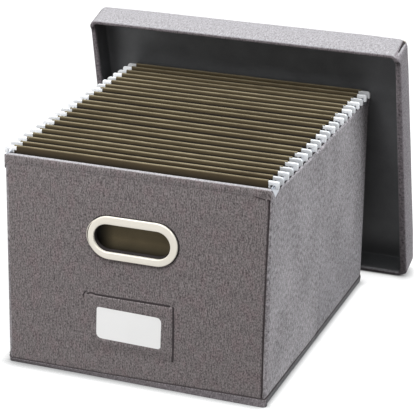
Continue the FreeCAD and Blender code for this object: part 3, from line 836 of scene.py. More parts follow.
def hemProfile():
    h = topHem
    front, back, leg = h["proud"], h["proud"] - h["thick"], h["leg"]
    outline = [(front - 0.35, leg), (front - 0.1, leg - 0.8), (front + 0.05, 5.4), (front, h["roll"])]
    for step in range(1, 12):
        turn = math.pi * step / 12
        n = (front + back) / 2 + h["thick"] / 2 * math.cos(turn)
        outline.append((n, h["roll"] * (1 - math.sin(turn))))
    return outline + [(back, h["roll"]), (back - 0.05, 5.4), (back + 0.1, leg - 0.8), (back + 0.35, leg)]


def hemPoint(side, spot, out, n, depth, run, seed):
    sway = 0.1 * ripple(run, depth, 31, 9, seed) + 0.05 * ripple(run, depth, 9, 5, seed + 2)
    lift = 0.15 * ripple(run, 0, 24, 1, seed + 5)
    here = spot - out * depth
    return onWall(side, here.x, here.y + lift, endFace + n + sway)


def makeTopHem(side, seed):
    outline = hemProfile()
    outline.append(outline[0])
    rings, ringUvs = [], []
    run = 0
    path = topHemPath()
    for k, (spot, out) in enumerate(path):
        run += (spot - path[k - 1][0]).length if k else 0
        rings.append([hemPoint(side, spot, out, n, depth, run, seed) for n, depth in outline])
        ringUvs.append([(spot.x, spot.y - depth - n) for n, depth in outline])
    piece = makePiece(side + "Hem", loft(rings, ringUvs, caps=True), linen, 50)
    # painted highlight: the hem's top faces take the brighter copy of the cloth
    addFinish(piece, litLidLinen, lambda face: face.normal.z > 0.6)
    settle(piece, "box", "linen", side + "_hem")


# corners: the side cloth turns round each corner and ends in a seam on the end wall

corner = dict(face=190.5, flank=156.0, behind=184.4, skin=1.2, tuck=1.5, tuckFrom=16.0, plain=151.9,
              capTop=251.0, capLow=237.8, capRun=13.5, capIn=153.95,
              crease=[(137.0, 242.0), (143.0, 241.3), (149.0, 240.5), (153.6, 240.4)],
              creaseWide=(0.4, 1.0, 1.3, 1.2))


def cornerOutline(level, seamed):
    # (x, y) in one quarter, from the end wall's cloth round to the side wall and back inside
    c = corner
    start = seamAt(level) + seam["gap"] if seamed else c["plain"]
    radius = min(seam["roundness"], c["flank"] - start - 0.5)
    lip = 0.1 if seamed else 0.0
    face, flank, behind = c["face"], c["flank"], c["behind"]
    outline = [(start + lip, face - 1.3), (start, face - 5 * lip), (start + 0.25, face - lip)]
    for step in range(9):
        turn = math.pi / 2 * (1 - step / 8)
        outline.append((flank - radius + radius * math.cos(turn), face - radius + radius * math.sin(turn)))
    outline += [(flank, 185.2), (flank - 0.3, behind), (flank - c["skin"], behind),
                (flank - c["skin"], face - radius - 0.4), (flank - radius - 0.1, face - 1.5)]
    pull = c["tuck"] * ease((c["tuckFrom"] - level) / c["tuckFrom"]) ** 2
    return [(x - pull, y - 0.5 * pull) for x, y in outline]


def makeCornerSeams():
    shells, grooves = [], []
    count = round((seam["high"] - seam["low"]) / seam["step"])
    levels = [seam["low"] + (seam["high"] - seam["low"]) * k / count for k in range(count + 1)]
    for seed, (signX, signY) in enumerate(((1, -1), (1, 1), (-1, 1), (-1, -1))):
        seamed = signX * signY < 0
        rings, ringUvs = [], []
        for level in levels:
            outline = cornerOutline(level, seamed)
            outline.append(outline[0])
            sway = 0.15 * ripple(level, 0, 38, 1, seed + 20.5) if seamed else 0.0
            rings.append([Vector((signX * (x + sway), signY * (y + 0.4 * sway), level)) for x, y in outline])
            ringUvs.append([(x - y, level) for x, y in outline])
        shells.append(loft(rings, ringUvs, caps=True))
        shells.append(makeCornerCap(signX, signY))
        if seamed:
            path = [Vector((seamAt(level), level)) for level in levels if level < topHem["foot"]]
            side = "front" if signY < 0 else "rear"
            face = corner["face"]
            # painted shadow: a dark strip down the open seam
            grooves.append(ribbon(side, path, (3.0, 3.0), face - 1.2, face - 0.62))
            # painted shadow in the crease under the hem's end
            crease = smoothPath(corner["crease"])
            grooves.append(ribbon(side, crease, corner["creaseWide"], face - 0.6, face + 0.5))
    piece = makePiece("cornerSeams", joinShells(*shells), litSideLinen, 60)
    settle(piece, "box", "linen", "corner_seams")
    line = makePiece("seamGrooveShadows", joinShells(*grooves), slitShadowFelt)
    settle(line, "box", "lining")


def makeCornerCap(signX, signY):
    # the hem's end, folded round the corner and down to the side wall's top edge
    c = corner
    rings, ringUvs = [], []
    for step in range(9):
        share = step / 8
        y = c["face"] - 0.5 - c["capRun"] * share
        top = c["capTop"] - (c["capTop"] - c["capLow"]) * share ** 1.2
        low = c["capLow"] - 3.0
        inside, outside = c["capIn"], c["flank"] + 0.45 * (1 - share)
        outline = [(inside, low), (inside, top - 0.7), (inside + 0.5, top - 0.1), (outside - 1.0, top),
                   (outside - 0.3, top - 0.4), (outside, top - 1.2), (outside, low + 1.5),
                   (outside - 0.5, low), (inside, low)]
        rings.append([Vector((signX * x, signY * y, z)) for x, z in outline])
        ringUvs.append([(y, z + x) for x, z in outline])
    return loft(rings, ringUvs, caps=True)


# what shows of the rails over the side walls: bright shoulders at the ends, and a dark strip of painted
# shadow along the cloth

railTrim = dict(inner=153.9, outer=155.4, ends=(165.0, 188.4), shoulder=(236.0, 251.2), gap=(242.0, 245.5),
                gapOuter=154.9)


def block(lowCorner, highCorner):
    (x0, y0, z0), (x1, y1, z1) = lowCorner, highCorner
    rings = [[(x0, y0, z), (x1, y0, z), (x1, y1, z), (x0, y1, z), (x0, y0, z)] for z in (z0, z1)]
    return loft(rings, [[(p[0] + p[1], p[2]) for p in ring] for ring in rings], caps=True)


def makeRailTrim():
    t = railTrim
    shoulders, gaps = [], []
    for sign in (1, -1):
        near, far = sorted((sign * t["inner"], sign * t["outer"]))
        for end in (1, -1):
            low, high = sorted((end * t["ends"][0], end * t["ends"][1]))
            shoulders.append(block((near, low, t["shoulder"][0]), (far, high, t["shoulder"][1])))
        near, far = sorted((sign * t["inner"], sign * t["gapOuter"]))
        gaps.append(block((near, -t["ends"][0], t["gap"][0]), (far, t["ends"][0], t["gap"][1])))
    settle(makePiece("railShoulders", joinShells(*shoulders), zinc), "box", "rail")
    settle(makePiece("railShadowGaps", joinShells(*gaps), shadowBlackFelt), "box", "lining")


# base tray with its hem, which is darker than the walls and tucks in a little under the side walls

base = dict(halfX=157.2, halfY=191.3, corner=4.5, kink=0.8, tuckSide=1.7, tuckEnd=0.3, hem=7.0,
            line=(6.4, 7.8), sideRise=0.36, endDrop=0.4, splay=(0.5, 6.0),
            outline=[(-6.0, 1.2), (-6.0, 6.2), (-2.6, 7.0), (-1.4, 6.9), (-0.5, 6.3), (-0.1, 5.0), (0.0, 3.4),
                     (0.0, 1.2), (-0.15, 0.3), (-0.6, 0.0), (-5.0, 0.0)])


def basePoint(spot, out, offset, level, run):
    b = base
    near = math.exp(-((spot.y - sideWall["crease"]) / 5) ** 2) if abs(out.x) > 0.9 else 0
    sway = 0.2 * ripple(run, level, 27, 6, 31.5) * (1 if offset > -2 else 0)
    tuck = b["tuckEnd"] + (b["tuckSide"] - b["tuckEnd"]) * out.x * out.x
    # the end hems splay out on the floor, most of all towards their open corner
    share = openShare(-math.copysign(1, out.y) * spot.x)
    splay = (b["splay"][0] + (b["splay"][1] - b["splay"][0]) * share) * out.y * out.y
    sunk = (tuck - splay) * max(0.0, 1 - level / b["hem"]) if offset > -2 else 0
    here = spot + out * (offset + sway - sunk + b["kink"] * near * min(1, level / 3))
    height = 1 + b["sideRise"] * out.x * out.x - b["endDrop"] * (1 - share * share) * out.y * out.y
    return Vector((here.x, here.y, level * height))


def baseRing():
    ring = roundRing(base["halfX"], base["halfY"], base["corner"], (76, 94, 8))
    runs = [0]
    for k in range(1, len(ring)):
        runs.append(runs[-1] + (ring[k][0] - ring[k - 1][0]).length)
    return ring, runs


def makeBase():
    ring, runs = baseRing()
    rings, ringUvs = [], []
    path = 0
    for k, (offset, level) in enumerate(base["outline"]):
        path += math.dist(base["outline"][k], base["outline"][k - 1]) if k else 0
        rings.append([basePoint(spot, out, offset, level, run) for (spot, out), run in zip(ring, runs)])
        rings[-1][-1] = rings[-1][0]
        ringUvs.append([(run, -path) for run in runs])
    piece = makePiece("baseCover", loft(rings, ringUvs, caps=True), darkHemAndShadeLinen, 60)
    # painted shade: faces towards the sides take a still darker copy of the cloth
    addFinish(piece, shadedFootLinen, lambda face: abs(face.normal.x) > 0.6)
    settle(piece, "box", "linen", "base_cover")
    # painted shadow: a dark strip in the line between the hem and the walls
    low, high = base["line"]
    section = [(-2.6, low), (-0.75, low), (-0.7, (low + high) / 2), (-0.75, high), (-2.6, high), (-2.6, low)]
    rings, ringUvs = [], []
    for offset, level in section:
        rings.append([basePoint(spot, out, offset, level, 0.0) for spot, out in ring])
        ringUvs.append([(run, offset + level) for run in runs])
    line = makePiece("baseSeamShadow", loft(rings, ringUvs), slitShadowFelt)
    settle(line, "box", "lining")


# handle: a flat ring with a lip round its ends; a black sleeve behind it and a black ring under it are
# painted shadow in the hole and round the ring's edge

handleProfile = [(25.3, -0.3), (25.3, 1.5), (25.2, 1.95), (24.95, 2.25), (24.6, 2.38), (24.2, 2.4),
                 (20.4, 2.42), (17.5, 2.4), (17.1, 2.38), (16.75, 2.25), (16.5, 1.95), (16.4, 1.5),
                 (16.4, 0.6), (16.4, -1.2), (17.8, -1.2), (17.8, -0.3)]
shadowSleeveProfile = [(15.75, -0.6), (15.75, -5.7), (17.4, -5.7), (17.4, -0.6)]
ringShadowProfile = [(25.6, -0.6), (25.6, 0.25), (25.3, 0.45), (18.6, 0.45), (18.6, -0.6)]
lipProfile = [(22.0, -0.4), (22.0, 0.4), (21.85, 0.65), (21.55, 0.75), (21.3, 0.6), (21.2, 0.3), (21.2, -0.4)]
sleeve = dict(straight=29.0, u=-3.4, v=170.7)
ringShadow = dict(straight=29.0, u=-2.4, v=171.3)
handleLip = dict(straight=30.0, u=-5.8, v=170.9)


def ringPlace(radius):
    # the ring is a little narrower at its ends than along its sides, and its opening sits a little low
    h = handle
    share = min(max((radius - h["opening"]) / (h["outer"] - h["opening"]), 0.0), 1.0)
    return dict(straight=h["straight"] + (h["outerStraight"] - h["straight"]) * share,
                u=h["u"] + h["outerShift"] * share, v=h["v"] - h["drop"] * (1 - share))


def stadium(radius, spot, steps=22):
    path = []
    for sign, first in ((1, -90), (-1, 90)):
        for step in range(steps + 1):
            turn = math.radians(first + 180 * step / steps)
            path.append((spot["u"] + sign * spot["straight"] + radius * math.cos(turn),
                         spot["v"] + radius * math.sin(turn)))
    path.append(path[0])
    return path


def stadiumRing(side, profile, spot=None):
    rings, ringUvs = [], []
    travel = 0
    outline = profile + profile[:1]
    for k, (radius, n) in enumerate(outline):
        travel += math.dist(outline[k], outline[k - 1]) if k else 0
        path = stadium(radius, spot or ringPlace(radius))
        rings.append([onWall(side, u, v, endFace + n) for u, v in path])
        ringUvs.append([(3.0 * j, travel) for j in range(len(path))])
    return loft(rings, ringUvs)


def makeHandle(side):
    shell = joinShells(stadiumRing(side, handleProfile), stadiumRing(side, lipProfile, handleLip))
    settle(makePiece(side + "Handle", shell, cream, 35), "box", "handle", side + "_handle_ring")
    shell = joinShells(stadiumRing(side, shadowSleeveProfile, sleeve), stadiumRing(side, ringShadowProfile, ringShadow))
    settle(makePiece(side + "HandleShadow", shell, shadowBlackFelt), "box", "lining")


# label pocket: a sewn patch with a window; its opening shows as a dark slit along the top and the right,
# drawn as strips of painted shadow

patch = dict(face=191.42, blend=13.0, slitFoot=-0.1, slitFaces=(0.1, 0.42, 0.42),
             topSlit=[(-58.6, 95.5), (-57.4, 98.7), (-55.0, 100.7), (-52.0, 101.1), (-47.3, 100.3),
                      (-42.0, 99.9), (0.0, 99.8), (42.0, 99.7)],
             topWide=(1.0, 1.8, 2.1, 2.1, 2.1, 2.6, 3.5, 3.4),
             rightSlit=[(45.2, 99.8), (45.6, 80.0), (45.6, 56.0), (45.2, 33.0)],
             rightWide=(2.6, 2.9, 2.9, 2.6),
             curl=[(-62.3, 93.7), (-62.2, 97.4), (-60.4, 100.6), (-57.4, 103.0)],
             curlWide=(0.4, 1.5, 1.4, 0.3))


def windowGap(u, v):
    p = pocket
    turn = math.radians(p["tilt"])
    fromU, fromV = u - p["u"] - p["windowShift"][0], v - p["v"] - p["windowShift"][1]
    along = fromU * math.cos(turn) + fromV * math.sin(turn)
    rise = fromV * math.cos(turn) - fromU * math.sin(turn)
    # radii of the corners: low left, low right, high left, high right
    radius = p["windowRound"][(along > 0) + 2 * (rise > 0)]
    du = abs(along) - (p["windowU"] - radius)
    dv = abs(rise) - (p["windowV"] - radius)
    outside = math.hypot(max(du, 0), max(dv, 0))
    return outside + min(max(du, dv), 0) - radius


def makePocket():
    p = pocket
    left, right = p["u"] - p["halfU"], p["u"] + p["halfU"] - p["cut"]
    low, high = p["v"] - p["halfV"], p["v"] + p["halfV"] - p["cut"]
    skin = endFace + 0.06

    def face(u, v):
        flush = ease(min((u - left) / patch["blend"], (v - low) / patch["blend"]))
        edge = rollOff(min(right - u, high - v), 1.6, 0.5) + rollOff(windowGap(u, v), 1.2, 0.3)
        wave = 0.08 * ripple(u, v, 22, 18, 41.5)
        return onWall("front", u, v, skin + (patch["face"] - skin + wave - edge) * flush)

    def back(u, v):
        return onWall("front", u, v, endFace - 0.35)

    us = stops(left, right, 2.2, (0.3, 0.7, 1.2, 1.8))
    vs = stops(low, high, 2.2, (0.3, 0.7, 1.2, 1.8))
    points, uvs, faces = slab(us, vs, face, back, windowGap)
    piece = makePiece("labelPocket", (points, uvs, faces), linen)
    settle(piece, "box", "linen", "label_pocket")
    # the slit: dark strips of painted shadow round the opening
    strips = []
    routes = (("topSlit", "topWide"), ("rightSlit", "rightWide"), ("curl", "curlWide"))
    low = endFace + patch["slitFoot"]
    for (route, wide), level in zip(routes, patch["slitFaces"]):
        strips.append(ribbon("front", smoothPath(patch[route]), patch[wide], low, endFace + level))
    slit = makePiece("pocketSlitShadow", joinShells(*strips), slitShadowFelt)
    settle(slit, "box", "lining")


for index, wallSide in enumerate(("front", "rear")):
    makeEndCover(wallSide, 3.1 + 10 * index, wallSide == "front")
    makeTopHem(wallSide, 5.7 + 10 * index)
    makeHandle(wallSide)
for index, wallSide in enumerate(("right", "left")):
    makeSideCover(wallSide, 8.3 + 10 * index)
makeCornerSeams()
makeRailTrim()
makeBase()
makePocket()
print("box dressed")


# folders: one sheet that hangs in a U from two bars, with a sleeve round each bar

folder = dict(half=148.5, depth=19.2, low=23.3, top=258.5, stock=0.5, sleeve=3.8, sleeveHigh=15.0, fold=3.0,
              sway=0.7, pushed=(-1.3, 0.1))


def pushedBy(number):
    # the folders at the front hang a little to the left on their rails
    return folder["pushed"][0] + folder["pushed"][1] * number


def folderSway(x, z, seed):
    f = folder
    share = (z - f["low"]) / (f["top"] - f["low"])
    return share * (f["sway"] * ripple(x, z, 95, 400, seed) + 0.2 * ripple(x, z, 30, 300, seed + 3))


def folderLine():
    # the middle of the stock in section (y, z), from the front sleeve's inner end to the rear one's
    f = folder
    thick = f["stock"] / 2
    outer = f["depth"] / 2 - thick
    radius = f["sleeve"] / 2 - thick
    turn = f["top"] - thick - radius
    line = [(-outer + 2 * radius, f["top"] - f["sleeveHigh"] + 3.2 * k) for k in range(4)]
    for step in range(9):
        angle = math.pi * step / 8
        line.append((-outer + radius + radius * math.cos(angle), turn + radius * math.sin(angle)))
    line += [(-outer, turn + (f["low"] + f["fold"] - turn) * k / 14) for k in range(1, 14)]
    for step in range(6):
        angle = math.pi + math.pi / 2 * step / 5
        bend = f["fold"] - thick
        line.append((-outer + bend + bend * math.cos(angle), f["low"] + f["fold"] + bend * math.sin(angle)))
    return line + [(-y, z) for y, z in reversed(line)]


def makeFolderSheet(number, middle):
    f = folder
    line = [Vector(p) for p in folderLine()]
    seed = 50.3 + 1.7 * number
    sides = []
    for k, here in enumerate(line):
        ahead = (line[min(k + 1, len(line) - 1)] - line[max(k - 1, 0)]).normalized()
        sides.append(Vector((-ahead.y, ahead.x)) * f["stock"] / 2)
    outline = [p + s for p, s in zip(line, sides)] + [p - s for p, s in reversed(list(zip(line, sides)))]
    outline.append(outline[0])
    rings, ringUvs = [], []
    for x in stops(-f["half"], f["half"], 5.0, (0.6, 1.5)):
        lift = 0.3 * ripple(x, 0, 80, 1, seed + 7)
        ring = []
        for y, z in outline:
            share = max(0.0, (z - f["low"]) / (f["top"] - f["low"]))
            sway = folderSway(x, z, seed + (0.6 if y > 0 else 0))
            ring.append(Vector((x + pushedBy(number), middle + y + sway, z + lift * share)))
        rings.append(ring)
        ringUvs.append([(x, z) for y, z in outline])
    piece = makePiece(f"folder{number:02d}Sheet", loft(rings, ringUvs, caps=True),
                      frontShadedStock if number == 1 else stock, 50)
    settle(piece, f"folder_{number:02d}", "folder", f"folder_{number:02d}_sheet")


# hanger bars: a flat core in the sleeve and a moulded hook at each end

bars = dict(apart=15.4, hookThick=3.6, coreThick=1.0, soften=0.6, crowns=(2.0, 3.6))


def hookOutline(crown):
    return roundCorners([(145.5, 252.6, 0), (148.6, 252.6, 0), (148.6, 249.3, 0.8), (150.7, 249.3, 0.8),
                         (150.7, 252.85, 0.7), (156.6, 252.85, 1.1), (156.6, 248.6, 1.3), (160.5, 248.6, 1.5),
                         (160.5, 257.3, crown), (147.6, 257.3, 0.5), (145.5, 257.6, 0)])


def roundedPlate(outline, middle, thick, soften, sign, shift):
    # an outline in (x, z) with its rims rounded, standing at y = middle
    rings = []
    for turn in (0, 30, 60, 90):
        pull = soften * (1 - math.sin(math.radians(turn)))
        rings.append((pull, -thick / 2 + soften * (1 - math.cos(math.radians(turn)))))
    rings += [(pull, -y) for pull, y in reversed(rings)]
    made, madeUvs = [], []
    for pull, y in rings:
        ring = [Vector((sign * p.x + shift, middle + y, p.y)) for p in inset(outline, pull)]
        made.append(ring + ring[:1])
        madeUvs.append([(p.x, p.z) for p in made[-1]])
    return loft(made, madeUvs, caps=True)


def makeFolderBars(number, middle):
    shells = []
    shift = pushedBy(number)
    core = [Vector(p) for p in ((-147.0, 252.7), (147.0, 252.7), (147.0, 257.2), (-147.0, 257.2))]
    for side, crown in zip((-1, 1), bars["crowns"]):
        y = middle + side * bars["apart"] / 2
        for sign in (1, -1):
            shells.append(roundedPlate(hookOutline(crown), y, bars["hookThick"], bars["soften"], sign, shift))
        shells.append(roundedPlate(core, y, bars["coreThick"], 0.3, 1, shift))
    piece = makePiece(f"folder{number:02d}Bars", joinShells(*shells), whitePlastic, 40)
    # painted shade: the rear bar of each pair is the duller one
    addFinish(piece, shadedRearPlastic, lambda face: face.center.y > middle * mm)
    settle(piece, f"folder_{number:02d}", "bar", f"folder_{number:02d}_bars")


folderCount = sum(1 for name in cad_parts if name.startswith("folder_") and name.endswith("_sheet"))
for folderNumber in range(1, folderCount + 1):
    lowCorner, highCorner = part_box(f"folder_{folderNumber:02d}_sheet")
    folderMiddle = (lowCorner.y + highCorner.y) / 2 / mm
    makeFolderSheet(folderNumber, folderMiddle)
    makeFolderBars(folderNumber, folderMiddle)
print(folderCount, "folders hung")


# the lid, shaped lying flat with its rim at z = 0, then leaned against the rear wall

lid = dict(halfX=199.8, halfY=165.3, deep=38.0, corner=10.0, edge=6.5, wall=3.9, rimWall=5.4, hem=4.5,
           lean=15.56, shift=4.2, footY=181.84, footShadeZ=159.24, flare=(1.4, 2.4), bow=2.8, rise=3.0, bulge=1.6,
           pinch=1.2, droop=(3.2, 6.0), droopRun=16.0, slit=1.5, counts=(80, 66, 12))


def leaned(x, y, z):
    # the outer cloth isn't straight: on the right it spreads towards the floor, on the left it bows out,
    # and the rim of the upper side hangs forward, most of all on the right
    slope = math.sin(math.radians(lid["lean"]))
    upright = math.cos(math.radians(lid["lean"]))
    run = lid["droopRun"]
    droop = lid["droop"][0] + (lid["droop"][1] - lid["droop"][0]) * (0.5 + 0.5 * x / lid["halfX"])
    z -= droop * ease(2 * (run - lid["halfY"] - y) / run) * max(0.0, 1 - z / run)
    down = (y + lid["halfY"]) / (2 * lid["halfY"])
    flare = lid["flare"][0] + lid["flare"][1] * down
    bow = lid["bow"] * math.sin(math.pi * min(max(down, 0.0), 1.0))
    x += math.copysign(flare if x > 0 else bow, x) * ease((abs(x) - lid["halfX"] + 4.4) / 3.6)
    y -= lid["rise"] * (1 - down)
    return Vector((x + lid["shift"], lid["footY"] + y * slope + z * upright,
                   lid["footShadeZ"] - y * upright + z * slope))


def lidRing(pulled):
    radius = max(lid["corner"] - pulled, 1.2)
    return roundRing(lid["halfX"] - pulled, lid["halfY"] - pulled, radius, lid["counts"])


def lidRimOutline():
    # (pulled in from the outside, z, how far the cloth may bulge), from the panel's seam round to the lining
    edge, wall, deep = lid["edge"], lid["wall"], lid["deep"]
    outline = [(edge + 0.35, deep - 1.3, 0), (edge - 0.1, deep - 0.5, 0)]
    for turn in (78, 60, 40, 20, 0):
        angle = math.radians(turn)
        across, rise = math.cos(angle), math.sin(angle)
        outline.append((edge - edge * across, deep - edge + edge * rise, 0.5 * across))
    tall = deep - edge - 2
    outline += [(0, z, 0.5 + 0.5 * math.sin(math.pi * (deep - edge - z) / tall)) for z in (30, 26, 22, 18)]
    outline += [(0, z, math.sin(math.pi / 2 * (z - 2) / 16)) for z in (14, 10, 7, 4.5)]
    rim = lid["rimWall"]
    edgeRound = [(0.0, 2.4), (0.2, 1.1), (0.7, 0.3), (1.6, 0.0)]
    outline += [(pulled, z, 0) for pulled, z in edgeRound]
    outline += [(rim - pulled, z, 0) for pulled, z in reversed(edgeRound)]
    outline += [(rim, lid["hem"] - 1.0, 0), (rim - 0.5, lid["hem"] - 0.2, 0), (wall + 0.3, lid["hem"], 0)]
    back = [(wall - 0.7, lid["hem"], 0), (wall - 0.7, 1.4, 0), (1.0, 1.4, 0), (1.0, deep - edge, 0),
            (edge - 0.6, deep - 1.8, 0)]
    return outline + back + outline[:1]


def rimSpot(spot, out, z, bulge):
    # a point of the rim's cloth, which bulges along the sides and is drawn in at the corners
    if bulge:
        gap = max(lid["halfX"] - abs(spot.x), lid["halfY"] - abs(spot.y))
        puff = lid["bulge"] * (0.8 + 0.4 * ripple(spot.x, spot.y, 60, 60, 71.5))
        puff *= ease((gap - lid["corner"]) / 40)
        fold = lid["pinch"] * math.exp(-((min(abs(out.x), abs(out.y)) - 0.7071) / 0.12) ** 2)
        spot = spot + out * (puff - fold) * bulge
    return leaned(spot.x, spot.y, z)


def makeLidRim():
    rings, ringUvs = [], []
    outline = lidRimOutline()
    path = 0
    for k, (pulled, z, bulge) in enumerate(outline):
        path += math.dist(outline[k][:2], outline[k - 1][:2]) if k else 0
        rings.append([rimSpot(spot, out, z, bulge) for spot, out in lidRing(pulled)])
        ringUvs.append([(spot.x + out.x * path, -spot.y - out.y * path) for spot, out in lidRing(0)])
    piece = makePiece("lidRimCover", loft(rings, ringUvs), litLidLinen, 50)
    # painted shade: the rim's sides and front take a darker copy of the cloth, and faces turned down a darker
    # one still
    addFinish(piece, shadedLidSideLinen, lambda face: abs(face.normal.x) > 0.5 or face.normal.y < -0.8)
    addFinish(piece, darkHemAndShadeLinen, lambda face: face.material_index == 0 and face.normal.z < -0.35)
    settle(piece, "lid", "linen", "lid_rim_cover")
    makeLidSeamShadows(outline)


def makeLidSeamShadows(outline):
    # painted shadow: dark strips in the slits where the rim's cloth is sewn at its corners
    shells = []
    rows = outline[5:13]
    for signX in (1, -1):
        for signY in (1, -1):
            out = Vector((signX, signY)).normalized()
            along = Vector((-out.y, out.x))
            middle = Vector((signX * (lid["halfX"] - lid["corner"]), signY * (lid["halfY"] - lid["corner"])))
            rings, ringUvs = [], []
            for k, (pulled, z, bulge) in enumerate(rows):
                half = lid["slit"] * (1 - 0.7 * k / len(rows))
                section = [(-half, -1.0), (-half, 0.45), (half, 0.45), (half, -1.0), (-half, -1.0)]
                spots = [middle + out * (lid["corner"] - pulled + lift) + along * a for a, lift in section]
                rings.append([rimSpot(spot, out, z, bulge) for spot in spots])
                ringUvs.append([(a, z) for a, lift in section])
            shells.append(loft(rings, ringUvs, caps=True))
    piece = makePiece("lidSeamShadows", joinShells(*shells), shadowBlackFelt)
    settle(piece, "lid", "lining")


def roundedSpot(x, y, halfX, halfY, radius):
    # squares off a rectangle's grid into one with round corners
    px = abs(x) - (halfX - radius)
    py = abs(y) - (halfY - radius)
    if px <= 0 or py <= 0:
        return x, y
    scale = max(px, py) / math.hypot(px, py)
    return (math.copysign(halfX - radius + px * scale, x), math.copysign(halfY - radius + py * scale, y))


def lidPlate(pulled, radius, step, top, bottom):
    halfX, halfY = lid["halfX"] - pulled, lid["halfY"] - pulled
    us = stops(-halfX, halfX, step, (0.4, 0.9, 1.6, 2.6, 5.0))
    vs = stops(-halfY, halfY, step, (0.4, 0.9, 1.6, 2.6, 5.0))

    def surface(height):
        def point(x, y):
            edge = min(halfX - abs(x), halfY - abs(y))
            spotX, spotY = roundedSpot(x, y, halfX, halfY, radius)
            return leaned(spotX, spotY, height(spotX, spotY, edge))
        return point

    points, uvs, faces = slab(us, vs, surface(top), surface(bottom))
    return points, [(x, -y) for x, y in uvs], faces


def makeLidPanel():
    deep, edge = lid["deep"], lid["edge"]

    def top(x, y, gap):
        swell = 0.35 * math.cos(math.pi * x / 420) * math.cos(math.pi * y / 350)
        swell += 0.2 * ripple(x, y, 70, 70, 77.5)
        return deep - 0.1 + swell * ease(gap / 25) - rollOff(gap, 2.6, 1.3)

    piece = makePiece("lidPanelCover", lidPlate(edge + 0.4, lid["corner"] - edge - 0.4, 5.0, top,
                                                lambda x, y, gap: deep - 1.6), litLidLinen)
    settle(piece, "lid", "linen", "lid_panel_cover")


def makeLidLining():
    deep, wall = lid["deep"], lid["wall"]
    ceiling = deep - wall

    def under(x, y, gap):
        return ceiling - 0.25 * ripple(x, y, 110, 90, 81.5) * ease(gap / 30) - rollOff(gap, 5.0, 1.4)

    plate = lidPlate(wall + 0.15, 4.2, 6.0, lambda x, y, gap: ceiling + 0.4, under)
    outline = [(wall - 0.2, lid["hem"] - 1.0), (wall + 0.4, lid["hem"] + 0.2), (wall + 0.4, 16.0),
               (wall + 0.2, 24.0), (wall + 0.25, 30.0), (wall + 0.8, ceiling - 0.6),
               (wall + 1.2, ceiling + 0.2), (wall - 0.2, ceiling + 0.2), (wall - 0.4, 20.0)]
    rings, ringUvs = [], []
    for pulled, z in outline + outline[:1]:
        rings.append([leaned(spot.x, spot.y, z) for spot, out in lidRing(pulled)])
        ringUvs.append([(spot.x + out.x * z, spot.y + out.y * z) for spot, out in lidRing(pulled)])
    piece = makePiece("lidLining", joinShells(plate, loft(rings, ringUvs)), lining, 50)
    settle(piece, "lid", "lining", "lid_panel_lining", "lid_rim_lining")


makeLidRim()
makeLidPanel()
makeLidLining()
print("lid dressed")


# stitches, set along the hems by geometry nodes

stitch = dict(pitch=3.6, long=2.5, wide=0.5, inset=1.8, seed=4)


def makeStitchTree():
    tree = bpy.data.node_groups.new("stitchRow", "GeometryNodeTree")
    tree.interface.new_socket("Path", in_out="INPUT", socket_type="NodeSocketGeometry")
    for label in ("Pitch", "Long", "Wide"):
        tree.interface.new_socket(label, in_out="INPUT", socket_type="NodeSocketFloat")
    tree.interface.new_socket("Seed", in_out="INPUT", socket_type="NodeSocketInt")
    tree.interface.new_socket("Thread", in_out="INPUT", socket_type="NodeSocketMaterial")
    tree.interface.new_socket("Stitches", in_out="OUTPUT", socket_type="NodeSocketGeometry")
    given = tree.nodes.new("NodeGroupInput")
    out = tree.nodes.new("NodeGroupOutput")
    line = place(tree, "GeometryNodeMeshToCurve", {"Mesh": given.outputs["Path"]})
    rest = place(tree, "GeometryNodeResampleCurve", {"Curve": line.outputs[0]})
    if "Mode" in rest.inputs:
        rest.inputs["Mode"].default_value = "Length"
    else:
        rest.mode = "LENGTH"
    tree.links.new(given.outputs["Pitch"], rest.inputs["Length"])
    along = place(tree, "GeometryNodeInputTangent").outputs[0]
    outward = place(tree, "GeometryNodeInputNamedAttribute", {"Name": "outward"}, data_type="FLOAT_VECTOR")
    turn = place(tree, "FunctionNodeAlignRotationToVector", {"Vector": along}, axis="X")
    aims = {"Rotation": turn.outputs[0], "Vector": outward.outputs[0]}
    turn = place(tree, "FunctionNodeAlignRotationToVector", aims, axis="Z", pivot_axis="X")
    bead = place(tree, "GeometryNodeMeshUVSphere", {"Segments": 6, "Rings": 4, "Radius": 0.5})
    jitter = place(tree, "FunctionNodeRandomValue", {2: 0.85, 3: 1.1, "Seed": given.outputs["Seed"]})
    length = times(tree, given.outputs["Long"], jitter.outputs[1])
    wide = given.outputs["Wide"]
    scale = place(tree, "ShaderNodeCombineXYZ", {0: length, 1: wide, 2: wide})
    instances = place(tree, "GeometryNodeInstanceOnPoints",
                      {"Points": rest.outputs[0], "Instance": bead.outputs[0], "Rotation": turn.outputs[0],
                       "Scale": scale.outputs[0]})
    real = place(tree, "GeometryNodeRealizeInstances", {0: instances.outputs[0]})
    smooth = place(tree, "GeometryNodeSetShadeSmooth", {0: real.outputs[0]})
    finish = {"Geometry": smooth.outputs[0], "Material": given.outputs["Thread"]}
    dressed = place(tree, "GeometryNodeSetMaterial", finish)
    tree.links.new(dressed.outputs[0], out.inputs[0])
    return tree


stitchTree = makeStitchTree()


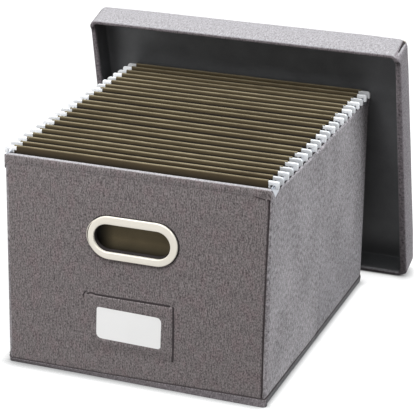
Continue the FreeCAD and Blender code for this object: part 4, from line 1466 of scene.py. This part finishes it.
def makeStitches(name, rows, body, slotName):
    # rows are lists of (point, outward), in millimetres
    points, outwards, edges = [], [], []
    for row in rows:
        for k, (spot, out) in enumerate(row):
            if k:
                edges.append((len(points) - 1, len(points)))
            points.append(spot * mm)
            outwards += list(out)
    mesh = bpy.data.meshes.new(name + "Path")
    mesh.from_pydata(points, edges, [])
    mesh.attributes.new("outward", "FLOAT_VECTOR", "POINT").data.foreach_set("vector", outwards)
    guide = bpy.data.objects.new(name + "Path", mesh)
    bpy.context.scene.collection.objects.link(guide)
    modifier = guide.modifiers.new("stitches", "NODES")
    modifier.node_group = stitchTree
    values = {"Pitch": stitch["pitch"] * mm, "Long": stitch["long"] * mm, "Wide": stitch["wide"] * mm,
              "Seed": stitch["seed"], "Thread": thread}
    for item in stitchTree.interface.items_tree:
        if item.name in values:
            modifier[item.identifier] = values[item.name]
    bpy.context.view_layer.update()
    seen = guide.evaluated_get(bpy.context.evaluated_depsgraph_get())
    baked = bpy.data.meshes.new_from_object(seen)
    baked.name = name
    bpy.data.objects.remove(guide)
    piece = bpy.data.objects.new(name, baked)
    bpy.context.scene.collection.objects.link(piece)
    settle(piece, body, slotName)
    return len(baked.polygons)


def boxStitchRows():
    rows = []
    for index, side in enumerate(("front", "rear")):
        row = []
        run = 0
        path = topHemPath()
        n, depth = topHem["proud"] + 0.02, topHem["leg"] - stitch["inset"]
        for k, (spot, out) in enumerate(path):
            run += (spot - path[k - 1][0]).length if k else 0
            row.append((hemPoint(side, spot, out, n, depth, run, 5.7 + 10 * index), wallAxes[side][1]))
        rows.append(row[12:-12])
    row = []
    for (spot, out), run in zip(*baseRing()):
        row.append((basePoint(spot, out, 0.05, 6.0, run), Vector((out.x, out.y, 0))))
    return rows + [row]


print("stitches:", makeStitches("boxStitches", boxStitchRows(), "box", "linen"), "faces")


# finishes for the CAD pieces that stay as they are

finishes = {"board": greyBoard, "lining": lining, "rail": zinc, "handle_backing": cream, "card": paper,
            "insert": lining}
for nodeName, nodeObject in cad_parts.items():
    if nodeObject.hide_render:
        continue
    finish = next((m for key, m in finishes.items() if key in nodeName), greyBoard)
    nodeObject.data.materials.clear()
    nodeObject.data.materials.append(finish)
print("finishes set")
